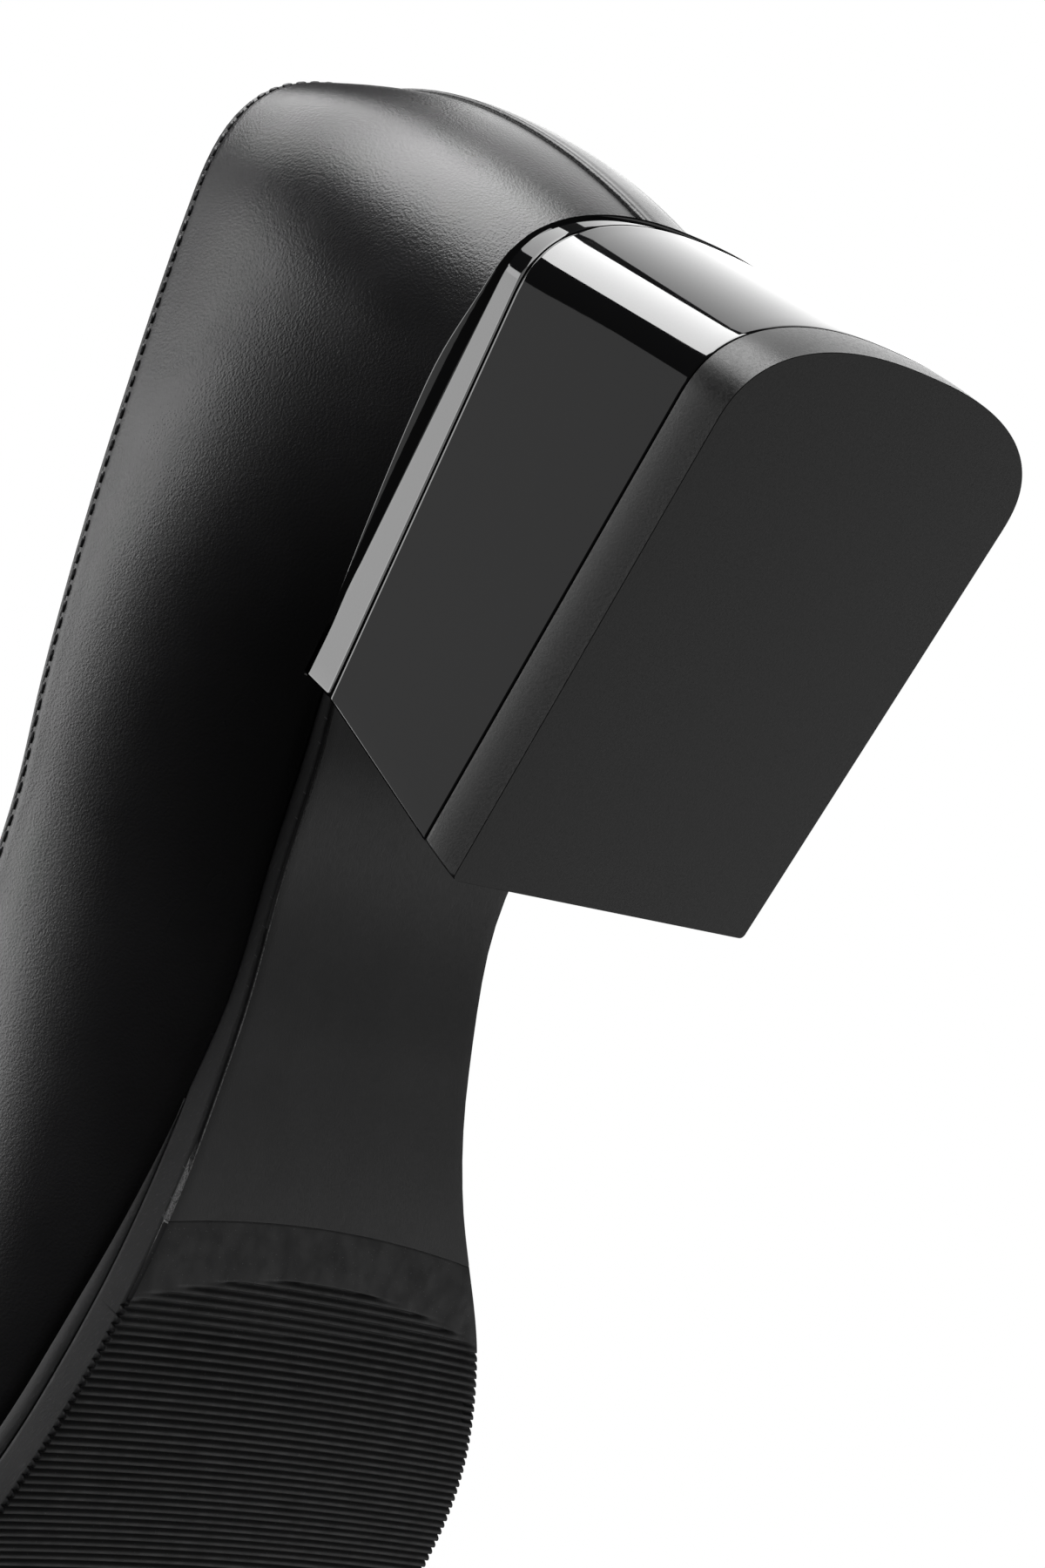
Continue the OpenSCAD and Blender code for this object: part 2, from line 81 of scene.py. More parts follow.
TOP_Z = [[0, 81.7], [12, 82.9], [27, 78.2], [45, 70.4], [60, 64.5], [76, 58.3], [90, 52.7], [110, 48.5],
         [135, 47.5], [150, 49.5], [160, 50.5], [170, 47], [190, 38], [212, 29]]
FOOT_A = {
    1: [[0, 76], [27, 74], [45, 60], [65, 38], [85, 34], [105, 45], [145, 66], [190, 74], [246, 76]],
    -1: [[0, 76], [27, 74], [45, 60], [65, 40], [85, 32], [105, 34], [125, 58], [165, 74], [246, 76]],
}
HEAD_A = [[0, 56], [12, 66], [27, 76], [65, 80], [100, 80], [130, 62], [145, 42], [155, 20], [160, 0],
          [246, 0]]
FOOT_K = [[0, 0.36], [65, 0.42], [145, 0.36], [190, 0.36], [246, 0.4]]
HEAD_K = [[0, 0.3], [65, 0.34], [130, 0.34], [160, 0.4], [212, 0.42]]
LIP_Z = [[1, 33.2], [7, 33.4], [14, 33.8], [23, 34.7], [30, 34.2], [40, 32.8], [50, 31.1], [60, 29.2]]


def slope(t, i):
    """Slope of a table at point i: the chord between its neighbours."""
    a, b = max(i - 1, 0), min(i + 1, len(t) - 1)
    return (t[b][1] - t[a][1]) / (t[b][0] - t[a][0])


def read(table, x):
    """A table read at distances x: a cubic between each two points, level past the ends."""
    x = np.asarray(x, float)
    t = np.array(table, float)
    m = np.array([slope(table, i) for i in range(len(table))])
    i = np.clip(np.searchsorted(t[:, 0], x, side="right") - 1, 0, len(t) - 2)
    h = t[i + 1, 0] - t[i, 0]
    u = np.clip((x - t[i, 0]) / h, 0, 1)
    w = 1 - u
    return (t[i, 1] * (1 + 2 * u) * w * w + m[i] * h * u * w * w
            + t[i + 1, 1] * u * u * (3 - 2 * u) - m[i + 1] * h * u * u * w)


def by_side(tables, x, side):
    """A table of the outer or the inner side, chosen for each point."""
    return np.where(side > 0, read(tables[1], x), read(tables[-1], x))


def ease(a, b, x):
    """0 below a, 1 above b, and a smooth step between."""
    t = np.clip((np.asarray(x, float) - a) / (b - a), 0, 1)
    return t * t * (3 - 2 * t)


def heading(x):
    """The way a section looks, turning from straight back at the heel to straight ahead at the toe."""
    back = np.clip(1 - x / HEEL_C, 0, 1)
    ahead = np.clip((x - TOE_C) / (TOE_X - TOE_C), 0, 1)
    hx = ahead - back
    return hx, np.sqrt(np.maximum(1 - hx * hx, 0))


def place(x, side, r, z):
    """The point of section x at distance r from the middle line and height z."""
    hx, hy = heading(x)
    return np.stack([np.clip(x, HEEL_C, TOE_C) + r * hx, side * r * hy, z + 0 * r], -1)


def under(x):
    """Height of the underside of the sole."""
    return np.maximum(read(UNDER_Z, x), 0)


def rest(x):
    """Height of the feather edge, where the upper sits on the sole."""
    return under(x) + read(SOLE_T, x)


def top_r(x, side):
    """Half width of the topline, closed at the throat by an arch of a high power."""
    t = np.clip((x - ARCH_X) / (THROAT_X - ARCH_X), 0, 1)
    return by_side(TOP_R, x, side) * np.sqrt(np.maximum(1 - t ** ARCH_POWER, 0))


def handles(x, side):
    """The four handles of each section's cubic curve, from the feather edge to topline or ridge."""
    rf = by_side(FEATHER, x, side)
    a, b = np.radians(by_side(FOOT_A, x, side)), np.radians(read(HEAD_A, x))
    hx, _ = heading(x)
    p = np.stack([rf, rest(np.clip(x, HEEL_C, TOE_C) + rf * hx)], -1)
    q = np.stack([top_r(x, side), read(TOP_Z, x)], -1)
    length = np.linalg.norm(q - p, axis=-1, keepdims=True)
    fall = slope(TOP_Z, len(TOP_Z) - 1) * hx
    down = np.where((x < THROAT_X)[:, None], np.stack([np.cos(b), -np.sin(b)], -1),
                    np.stack([1 + 0 * x, fall], -1))
    rise = np.stack([np.cos(a), np.sin(a)], -1)
    foot, head = read(FOOT_K, x)[:, None], read(HEAD_K, x)[:, None]
    plain = np.stack([p, p + length * foot * rise, q + length * head * down, q], 1)
    near = (ease(CUT_X0, CUT_X1, x) * (x < THROAT_X))[:, None, None]
    return plain * (1 - near) + cut_section(p, q, rise, foot, head) * near


def cut_section(p, q, rise, foot, head):
    """Handles of the part, from the feather edge up to the topline, of a section that would run on
    to a level ridge over the middle line. The ridge's height is found by steps, so that the section
    passes through the topline, and the cut by halving; the parts are de Casteljau's."""
    ridge = q[:, 1].copy()
    for _ in range(10):
        top = np.stack([0 * ridge, ridge], -1)
        length = np.linalg.norm(top - p, axis=-1, keepdims=True)
        h = np.stack([p, p + length * foot * rise, top + length * head * np.array([1.0, 0.0]), top], 1)
        lo, hi = np.full(len(p), 0.5), np.ones(len(p))
        for _ in range(24):
            t = (lo + hi) / 2
            w = 1 - t
            r = w ** 3 * h[:, 0, 0] + 3 * w ** 2 * t * h[:, 1, 0] + 3 * w * t * t * h[:, 2, 0]
            lo, hi = np.where(r > q[:, 0], t, lo), np.where(r > q[:, 0], hi, t)
        t = t[:, None]
        a, b, c = (h[:, i] * (1 - t) + h[:, i + 1] * t for i in range(3))
        d, e = a * (1 - t) + b * t, b * (1 - t) + c * t
        end = d * (1 - t) + e * t
        ridge = ridge + q[:, 1] - end[:, 1]
    return np.stack([p, a, d, end], 1)


def skin(x, side, v, d, margin=8.0):
    """Points of the upper: for each section a row at parts v of the way up and depths d under the
    outer face. The curve is a cubic between four handles, and depth is square to it. v below 0 runs
    inwards along the margin that is turned in over the insole board."""
    p = handles(x, side)[:, None]
    v, d = np.broadcast_arrays(v, d)
    t = np.clip(v, 0, 1)[..., None]
    w = 1 - t
    q = (w ** 3 * p[:, :, 0] + 3 * w * w * t * p[:, :, 1]
         + 3 * w * t * t * p[:, :, 2] + t ** 3 * p[:, :, 3])
    g = (w * w * (p[:, :, 1] - p[:, :, 0]) + 2 * w * t * (p[:, :, 2] - p[:, :, 1])
         + t * t * (p[:, :, 3] - p[:, :, 2]))
    g /= np.linalg.norm(g, axis=-1, keepdims=True)
    half = np.tan(np.arctan2(p[:, :, 1, 1] - p[:, :, 0, 1], p[:, :, 1, 0] - p[:, :, 0, 0]) / 2)
    wall = v > 0
    r = np.where(wall, q[..., 0] - d * g[..., 1], q[..., 0] - d * half + np.minimum(v, 0) * margin)
    z = np.where(wall, q[..., 1] + d * g[..., 0], q[..., 1] + d)
    xs, ss = np.broadcast_to(x[:, None], v.shape), np.broadcast_to(side[:, None], v.shape)
    return place(xs, ss, r, z)


# ---- sections --------------------------------------------------------------------------------
def stops(x0, x1, fan=26, run=74, shut=34):
    """Distances of sections between x0 and x1: even angles in the fans, closer at the throat."""
    heel = HEEL_C * (1 - np.cos(np.linspace(0, math.pi / 2, fan)))
    mid = HEEL_C + (THROAT_X - HEEL_C) * np.sin(np.linspace(0, math.pi / 2, run))
    front = np.linspace(THROAT_X, TOE_C, shut)
    toe = TOE_C + (TOE_X - TOE_C) * np.sin(np.linspace(0, math.pi / 2, fan + 4))
    every = np.unique(np.round(np.concatenate([heel, mid, front, toe]), 6))
    inner = every[(every > x0 + 0.05) & (every < x1 - 0.05)]
    return np.concatenate([[x0], inner, [x1]])


def ring(parts):
    """Sections in a row: parts are (x0, x1, side), each running from x0 to x1, forward or back."""
    xs, ss = [], []
    for x0, x1, side in parts:
        s = stops(min(x0, x1), max(x0, x1))
        s = s if x0 < x1 else s[::-1]
        s = s[1:] if xs else s
        xs.append(s)
        ss.append(np.full(len(s), float(side)))
    return np.concatenate(xs), np.concatenate(ss)


# ---- meshes ----------------------------------------------------------------------------------
def grid_faces(n, m, start=0, flip=False, closed=False):
    """The quads of a grid of n rows and m columns, whose columns may close into a ring."""
    i = np.arange(n - 1)[:, None] * m + start
    j = np.arange(m if closed else m - 1)[None, :]
    k = (j + 1) % m
    f = np.stack([i + j, i + m + j, i + m + k, i + k], -1).reshape(-1, 4)
    return f[:, ::-1] if flip else f


def new_piece(name, points, faces, material, crease=40.0, merge=0.004, keep=None):
    """A mesh object from points in mm and faces, set in the frame, with near points merged and
    edges sharper than crease left sharp. keep is a value from 0 to 1 kept at each point as 'mark'."""
    mesh = bpy.data.meshes.new(name)
    place_m = (np.asarray(points, float).reshape(-1, 3) - MIDDLE) * MM
    mesh.from_pydata(place_m.tolist(), [], [list(map(int, f)) for f in faces])
    if keep is not None:
        mark = mesh.attributes.new("mark", "FLOAT", "POINT")
        mark.data.foreach_set("value", np.asarray(keep, np.float32).ravel())
    bm = bmesh.new()
    bm.from_mesh(mesh)
    bmesh.ops.remove_doubles(bm, verts=bm.verts, dist=merge * MM)
    bmesh.ops.dissolve_degenerate(bm, edges=bm.edges, dist=1e-8)
    bmesh.ops.recalc_face_normals(bm, faces=bm.faces)
    bm.to_mesh(mesh)
    bm.free()
    mesh.shade_smooth()
    mesh.set_sharp_from_angle(angle=math.radians(crease))
    mesh.materials.append(material)
    piece = bpy.data.objects.new(name, mesh)
    bpy.context.collection.objects.link(piece)
    return piece


def fit_piece(piece, node):
    """The piece stands for a node and rides on the shoe; the node's own part from the model is hidden."""
    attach(piece, "root")
    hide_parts(node)
    return piece


def loft(rows):
    """Points and faces of a solid of closed rings, each end closed with a face."""
    n, m = rows.shape[:2]
    ends = [list(range(m))[::-1], list(range((n - 1) * m, n * m))]
    return rows.reshape(-1, 3), list(grid_faces(n, m, closed=True)) + ends


# ---- materials -------------------------------------------------------------------------------
def add(tree, kind, sockets=None, **props):
    """A node with its properties and its inputs set or linked."""
    n = tree.nodes.new(kind)
    for k, v in props.items():
        setattr(n, k, v)
    for k, v in (sockets or {}).items():
        if isinstance(v, bpy.types.NodeSocket):
            tree.links.new(v, n.inputs[k])
        else:
            n.inputs[k].default_value = v
    return n


def coords(tree, stretch=(1, 1, 1)):
    """Object coordinates, drawn out along an axis where stretch is below 1."""
    at = add(tree, "ShaderNodeTexCoord").outputs["Object"]
    return add(tree, "ShaderNodeMapping", {"Vector": at, "Scale": stretch}).outputs[0]


def noise(tree, at, size, detail=3.0, rough=0.55):
    """Cloudy noise whose patches are size mm across."""
    return add(tree, "ShaderNodeTexNoise", {"Vector": at, "Scale": 1 / (size * MM), "Detail": detail,
                                            "Roughness": rough}).outputs["Fac"]


def pebbles(tree, at, size):
    """Rounded cells size mm across, as in leather grain."""
    return add(tree, "ShaderNodeTexVoronoi", {"Vector": at, "Scale": 1 / (size * MM), "Smoothness": 0.6},
               feature="SMOOTH_F1").outputs["Distance"]


def scale_to(tree, value, low, high, a=0.3, b=0.7):
    """A value from a..b brought to low..high."""
    return add(tree, "ShaderNodeMapRange", {"Value": value, "From Min": a, "From Max": b,
                                            "To Min": low, "To Max": high}).outputs["Result"]


def mix(tree, how, a, b, factor=1.0):
    """Two colours or values mixed."""
    n = add(tree, "ShaderNodeMix", data_type="RGBA", blend_type=how)
    for k, v in (("Factor", factor), ("A", a), ("B", b)):
        s = [i for i in n.inputs if i.name == k and (k == "Factor" or i.type == "RGBA")][0]
        if isinstance(v, bpy.types.NodeSocket):
            tree.links.new(v, s)
        else:
            s.default_value = v if k == "Factor" else (*v, 1.0)
    return [o for o in n.outputs if o.type == "RGBA"][0]


def bump(tree, height, depth, strength=1.0, under_it=None):
    """A bump of depth mm."""
    sockets = {"Height": height, "Strength": strength, "Distance": depth * MM}
    if under_it is not None:
        sockets["Normal"] = under_it
    return add(tree, "ShaderNodeBump", sockets).outputs["Normal"]


def finish(name, recipe):
    """A material: recipe(tree) gives the inputs of its surface."""
    m = bpy.data.materials.new(name)
    m.use_nodes = True
    t = m.node_tree
    t.nodes.clear()
    shader = add(t, "ShaderNodeBsdfPrincipled", recipe(t))
    add(t, "ShaderNodeOutputMaterial", {"Surface": shader.outputs[0]})
    return m


def black_leather(colour):
    """Smooth calf: fine pebbled grain, faint clouds in tone and gloss."""
    def recipe(t):
        at = coords(t)
        both = {0: pebbles(t, at, 0.31), 1: noise(t, at, 0.16, 2)}
        grain = add(t, "ShaderNodeMath", both, operation="ADD").outputs[0]
        tone = mix(t, "MIX", tuple(c * 0.9 for c in colour), tuple(c * 1.12 for c in colour),
                   scale_to(t, noise(t, at, 9, 5), 0, 1))
        broad = bump(t, noise(t, at, 8, 1), 0.03)
        return {"Base Color": tone, "Roughness": scale_to(t, noise(t, at, 6, 1), 0.24, 0.28),
                "Specular IOR Level": 0.3, "Normal": bump(t, grain, 0.024, 0.8, broad)}
    return finish("black_leather", recipe)


def lining_leather(name, colour):
    """Undyed lining leather: matt, mottled, with pores."""
    def recipe(t):
        at = coords(t)
        tone = mix(t, "MIX", tuple(c * 0.92 for c in colour), tuple(min(c * 1.06, 1) for c in colour),
                   scale_to(t, noise(t, at, 7, 6, 0.65), 0, 1))
        pores = noise(t, at, 0.5, 3)
        pits = scale_to(t, pores, 0.35, 0, 0.25, 0.45)
        return {"Base Color": mix(t, "MULTIPLY", tone, (0.75, 0.72, 0.7), pits),
                "Roughness": scale_to(t, noise(t, at, 2), 0.62, 0.78), "Normal": bump(t, pores, 0.05, 0.6)}
    return finish(name, recipe)


def waxed_thread(colour):
    """Twisted thread with a wax shine."""
    def recipe(t):
        at = coords(t)
        ply = {"Vector": coords(t, (1, 1, 0.6)), "Scale": 420.0, "Distortion": 2.0}
        twist = add(t, "ShaderNodeTexWave", ply).outputs["Fac"]
        dark, pale = tuple(c * 0.6 for c in colour), tuple(c * 2 for c in colour)
        return {"Base Color": mix(t, "MIX", dark, pale, noise(t, at, 0.4)),
                "Roughness": 0.5, "Normal": bump(t, twist, 0.05)}
    return finish("waxed_thread", recipe)


def sole_rubber(colour):
    """Moulded black rubber with a faint bloom and specks of dust."""
    def recipe(t):
        at = coords(t)
        specks = scale_to(t, noise(t, at, 0.22, 1), 0, 1, 0.72, 0.76)
        tone = mix(t, "MIX", tuple(c * 0.8 for c in colour), tuple(c * 1.25 for c in colour),
                   scale_to(t, noise(t, at, 6, 6), 0, 1))
        return {"Base Color": mix(t, "MIX", tone, (0.16, 0.16, 0.16), specks),
                "Roughness": scale_to(t, noise(t, at, 2.5, 4), 0.46, 0.62),
                "Normal": bump(t, noise(t, at, 0.14, 3), 0.02, 0.5)}
    return finish("sole_rubber", recipe)


def ground_edge(name, colour, rough, shine):
    """A ground and inked edge: fine scratches along the shoe. Points marked 1 are a bevel with painted
    glints: light grey specks in a coarse sparkling grain."""
    def recipe(t):
        at = coords(t)
        lines = noise(t, coords(t, (0.06, 1, 1)), 0.22, 4, 0.75)
        mark = add(t, "ShaderNodeAttribute", attribute_name="mark").outputs["Fac"]
        # painted glints: where the bevel is marked, coarse specks of light grey colour stand in for light
        # sparkling on it
        glint_specks = scale_to(t, noise(t, coords(t, (0.6, 1, 1)), 0.16, 2, 0.8), 0, 1, 0.32, 0.62)
        painted_glints = add(t, "ShaderNodeMath", {0: mark, 1: glint_specks}, operation="MULTIPLY").outputs[0]
        tone = mix(t, "MIX", tuple(c * 0.8 for c in colour), tuple(c * 1.3 for c in colour),
                   scale_to(t, noise(t, at, 9, 4), 0, 1))
        wear_and_glints = mix(t, "MIX", tone, tuple(c + 0.03 for c in colour), scale_to(t, lines, 0, 1, 0.56, 0.8))
        return {"Base Color": mix(t, "MIX", wear_and_glints, (0.42, 0.42, 0.42), painted_glints), "Specular IOR Level": shine,
                "Roughness": scale_to(t, lines, rough, rough + 0.15), "Normal": bump(t, lines, 0.03, 0.7)}
    return finish(name, recipe)


def lacquer(colour):
    """Deep black lacquer: mirror gloss, a trace of orange peel and dust."""
    def recipe(t):
        at = coords(t)
        tone = mix(t, "MIX", tuple(c * 0.8 for c in colour), tuple(c * 1.3 for c in colour),
                   noise(t, at, 12, 3))
        return {"Base Color": tone, "Roughness": scale_to(t, noise(t, at, 8, 5), 0.02, 0.05),
                "Specular IOR Level": 0.55,
                "Normal": bump(t, noise(t, at, 3.5, 1), 0.006, 0.6)}
    return finish("black_lacquer", recipe)


def plain_stuff(name, colour, rough, size, depth, metal=0.0, stretch=(1, 1, 1), shine=0.5):
    """A simple finish with mottled tone and a bumpy grain of the given size."""
    def recipe(t):
        at = coords(t, stretch)
        n = noise(t, at, size, 5, 0.65)
        dark, pale = tuple(c * 0.75 for c in colour), tuple(min(c * 1.2, 1) for c in colour)
        return {"Base Color": mix(t, "MIX", dark, pale, scale_to(t, n, 0, 1)),
                "Roughness": scale_to(t, n, rough - 0.08, rough + 0.08), "Metallic": metal,
                "Specular IOR Level": shine, "Normal": bump(t, n, depth, 0.6)}
    return finish(name, recipe)


# ---- the topline -----------------------------------------------------------------------------
def unit(a):
    """Vectors brought to length 1."""
    return a / np.maximum(np.linalg.norm(a, axis=-1, keepdims=True), 1e-12)


def along(line, pitch, closed=False):
    """Places at an even pitch along a line of points, as part numbers of its points."""
    pts = np.concatenate([line, line[:1]]) if closed else line
    run = np.concatenate([[0], np.cumsum(np.linalg.norm(np.diff(pts, axis=0), axis=1))])
    n = int(round(run[-1] / pitch))
    return np.interp(np.linspace(0, run[-1], n + 1)[:n if closed else n + 1], run, np.arange(len(pts)))


def pick(values, places):
    """Values of a closed row read between its points."""
    i = np.floor(places).astype(int) % len(values)
    f = (places - np.floor(places))[:, None]
    return values[i] * (1 - f) + values[(i + 1) % len(values)] * f


def topline():
    """The edge of the upper as a closed line, with the way along it, the outward normal and the way
    down the leather: tangent by differences, normal across it, and their cross product."""
    x, side = ring([(0, THROAT_X, 1), (THROAT_X, 0, -1)])
    x, side = x[:-1], side[:-1]
    edge = skin(x, side, np.ones((len(x), 1)), 0.0)[:, 0]
    out = skin(x, side, np.ones((len(x), 1)), -1.0)[:, 0] - edge
    places = along(edge, 0.6, True)
    line, out = pick(edge, places), pick(out, places)
    way = unit(np.roll(line, -1, 0) - np.roll(line, 1, 0))
    normal = unit(out - (out * way).sum(-1, keepdims=True) * way)
    return line, way, normal, np.cross(normal, way)


def from_topline(points, edge):
    """Distance of points from the topline, and the number of the nearest point on it."""
    line, way = edge[0], edge[1]
    flat = points.reshape(-1, 3)
    near = np.concatenate([np.argmin((p * p).sum(1)[:, None] + (line * line).sum(1) - 2 * p @ line.T, 1)
                           for p in np.array_split(flat, 12)])
    gap = flat - line[near]
    lead = np.clip((gap * way[near]).sum(1), -0.3, 0.3)
    gap = gap - lead[:, None] * way[near]
    return np.linalg.norm(gap, axis=1).reshape(points.shape[:-1]), near.reshape(points.shape[:-1])


def rounded(e, r):
    """How far a face has dropped at distance e from an edge rounded with radius r."""
    return r - np.sqrt(np.maximum(r * r - np.clip(r - e, 0, r) ** 2, 0))


# ---- pieces of the upper ---------------------------------------------------------------------
FOOT_GAPS = np.array([0.0, 0.2, 0.45, 0.8, 1.25, 1.8, 2.6, 3.8])
HEAD_GAPS = np.array([11, 9, 7.2, 5.8, 4.6, 3.6, 2.8, 2.2, 1.8, 1.5, 1.25, 1.0, 0.75, 0.5, 0.3, 0.14,
                      0.04, 0.0])


def heights(x, side, middle=26, start=None):
    """Parts of the way up: close together at the feather edge and at the topline."""
    p = handles(x, side)
    foot = FOOT_GAPS / (3 * np.linalg.norm(p[:, 1] - p[:, 0], axis=-1)[:, None])
    head = 1 - HEAD_GAPS / (3 * np.linalg.norm(p[:, 3] - p[:, 2], axis=-1)[:, None])
    if start is not None:
        foot = start + foot
    t = np.linspace(0, 1, middle + 2)[1:-1]
    mid = foot[:, -1:] * (1 - t) + head[:, :1] * t
    v = np.concatenate([foot, mid, head], 1)
    rise = v * 3 * np.linalg.norm(p[:, 1] - p[:, 0], axis=-1)[:, None]
    return v, rise


def with_margin(v, stops=(-1.0,)):
    """The heights with the stops of the turned-in margin before them."""
    return np.concatenate([np.broadcast_to(stops, (len(v), len(stops))), v], 1)


def pole(grid, x):
    """All the rows round the toe end in one point, on the ridge of the vamp."""
    far = np.flatnonzero(x >= TOE_C)
    if len(far):
        grid[far, -1] = grid[far[0], -1]
    return grid


def close_sheet(outer, inner, x, open_top=True):
    """Points and faces of a closed sheet between two grids of the same size. Its head is closed
    where the sections don't yet meet on the ridge."""
    n, m = outer.shape[:2]
    k = n * m
    i, j = np.arange(n - 1), np.arange(m - 1)
    foot = np.stack([i * m, k + i * m, k + (i + 1) * m, (i + 1) * m], -1)
    head = np.stack([i * m + m - 1, (i + 1) * m + m - 1, k + (i + 1) * m + m - 1, k + i * m + m - 1], -1)
    if open_top:
        head = head[~((x[:-1] >= THROAT_X) & (x[1:] >= THROAT_X))]
    a = (n - 1) * m
    ends = [np.stack([j, j + 1, k + j + 1, k + j], -1),
            np.stack([a + j, k + a + j, k + a + j + 1, a + j + 1], -1)]
    faces = np.concatenate([grid_faces(n, m), grid_faces(n, m, k, True), foot, head] + ends)
    return np.concatenate([outer.reshape(-1, 3), inner.reshape(-1, 3)]), faces


def leather_piece(name, node, parts, edge, material, seam=None):
    """A piece of the upper. Its edge at the topline is folded to double thickness and rounded, its
    foot is tucked in over the sole, a shallow groove carries the stitching 1.2 mm from the edge,
    and at a lap seam the piece rides up over its neighbour."""
    x, side = ring(parts)
    v, rise = heights(x, side)
    e, _ = from_topline(skin(x, side, v, 0.0), edge)
    fold = 0.5 * FOLD_T
    tuck = (0.3 + 0.6 * ease(100, 130, x))[:, None] * (1 - ease(0, 2.6, rise)) ** 2
    lap = np.zeros_like(v)
    if seam is not None:
        s = (x - seam)[:, None] * (side < 0)[:, None] + 99.0 * (side > 0)[:, None]
        lap = -0.45 * (1 - ease(1, 14, s)) * ease(0, 6, e) + rounded(s, 0.5)
    groove = 0.16 * np.exp(-((e - STITCH_G) / 0.32) ** 2)
    puff = -0.05 * np.exp(-((e - 2.3) / 0.6) ** 2)
    d0 = rounded(e, fold) + tuck + lap + groove + puff
    thick = LEATHER_T + (FOLD_T - LEATHER_T) * (1 - ease(4, 9, e))
    d1 = thick - rounded(e, fold) + 0.8 * tuck + np.minimum(lap, 0) * 0.5
    d1 = np.maximum(d1, d0)
    w = with_margin(v, (-1.0, -0.16))
    outer = pole(skin(x, side, w, np.concatenate([np.zeros((len(x), 2)), d0], 1)), x)
    inner = pole(skin(x, side, w, np.concatenate([np.full((len(x), 2), LEATHER_T), d1], 1)), x)
    points, faces = close_sheet(outer, inner, x)
    return fit_piece(new_piece(name, points, faces, material, 50), node)


def lining_piece(name, node, parts, edge, material):
    """A piece of lining behind the leather and the stiffeners. Near the topline it is eased in
    behind the fold, and its edge stops a little below it."""
    x, side = ring(parts)
    v, _ = heights(x, side, 20)
    e, near = from_topline(skin(x, side, v, 0.0), edge)
    ease_in = 1 - ease(3, 9, e)
    d0 = LINING_D + 0.34 * ease_in + rounded(e, 0.35)
    d1 = INSIDE_D + 0.3 * ease_in - rounded(e, 0.35)
    shift = edge[3][near] * (0.75 * (1 - np.clip(e / 5, 0, 1)) ** 2 * (x <= THROAT_X + 6)[:, None])[..., None]
    w = with_margin(v)
    grids = []
    for d, foot in ((d0, LINING_D), (d1, INSIDE_D)):
        g = skin(x, side, w, np.concatenate([np.full((len(x), 1), foot), d], 1))
        g[:, 1:] += shift
        grids.append(pole(g, x))
    points, faces = close_sheet(grids[0], grids[1], x)
    return fit_piece(new_piece(name, points, faces, material, 50), node)


def back_stay_piece(edge, material):
    """The strip over the back seam: 0.5 mm proud, with rounded sides, up to the folded topline."""
    reach = math.acos(1 - STAY_X / HEEL_C)
    turn = reach * np.sin(np.linspace(-math.pi / 2, math.pi / 2, 33))
    x, side = HEEL_C * (1 - np.cos(turn)), np.where(turn < 0, -1.0, 1.0)
    v, _ = heights(x, side, 30, 0.06)
    e, _ = from_topline(skin(x, side, v, 0.0), edge)
    r = by_side(FEATHER, x, side)
    sides = ((reach - np.abs(turn)) * r)[:, None]
    foot = (v - 0.06) * 60
    d0 = -STAY_T + rounded(sides, STAY_T) + rounded(foot, STAY_T) + rounded(e, 1.4)
    d0 = np.minimum(d0, 0.06 + rounded(e, 1.4)) + 0.1 * np.exp(-((sides - 1.3) / 0.3) ** 2)
    d1 = 0.12 + rounded(e, 1.4)
    outer = skin(x, side, v, d0)
    inner = skin(x, side, v, np.broadcast_to(np.maximum(d1, d0), v.shape))
    points, faces = close_sheet(outer, inner, x)
    return fit_piece(new_piece("back_strip", points, faces, material, 50), "back_stay")


def stitches(centres, way, normal, length, r, sink=0.0):
    """Points and faces of stitches, each a small pillow with tapered ends: rings of radius
    r (1 - s^4)^(1/2) at parts s along it, flattened towards the leather."""
    s = np.array([-1, -0.86, -0.4, 0.4, 0.86, 1.0])
    turn = np.linspace(0, 2 * math.pi, 7)[:-1]
    wide = np.sqrt(np.maximum(1 - s ** 4, 0.02))
    across = np.cross(normal, way)
    a = (s * length / 2)[:, None] + 0 * turn
    b = r * wide[:, None] * np.cos(turn)
    c = 0.75 * r * wide[:, None] * np.sin(turn) - sink - 0.25 * r * (s ** 2)[:, None]
    pts = (centres[:, None, None] + a[None, ..., None] * way[:, None, None]
           + b[None, ..., None] * across[:, None, None]
           + c[None, ..., None] * normal[:, None, None])
    n, k = len(s), len(turn)
    one = grid_faces(n, k, closed=True)
    ends = np.array([[k - 1 - i for i in range(k)], [(n - 1) * k + i for i in range(k)]])
    step = (np.arange(len(centres)) * n * k)[:, None, None]
    faces = [f for part in (one, ends) for f in (part[None] + step).reshape(-1, part.shape[1])]
    return pts.reshape(-1, 3), faces


# ---- pieces of the bottom --------------------------------------------------------------------
def outline(side, grow):
    """Distances and half widths of the bottom's outline, a given step beyond the feather edge."""
    x = np.concatenate([HEEL_C * (1 - np.cos(np.linspace(0, math.pi / 2, 60))),
                        np.linspace(HEEL_C, TOE_C, 400)[1:-1],
                        TOE_C + (TOE_X - TOE_C) * np.sin(np.linspace(0, math.pi / 2, 80))])
    s = np.full(len(x), float(side))
    p = place(x, s, by_side(FEATHER, x, s) + grow(x, s), 0.0)
    return p[:, 0], np.abs(p[:, 1])


def foot_tan(x, side):
    """How far a layer under the skin moves in at the feather edge for each mm of depth."""
    return np.tan(np.radians(by_side(FOOT_A, x, side)) / 2)


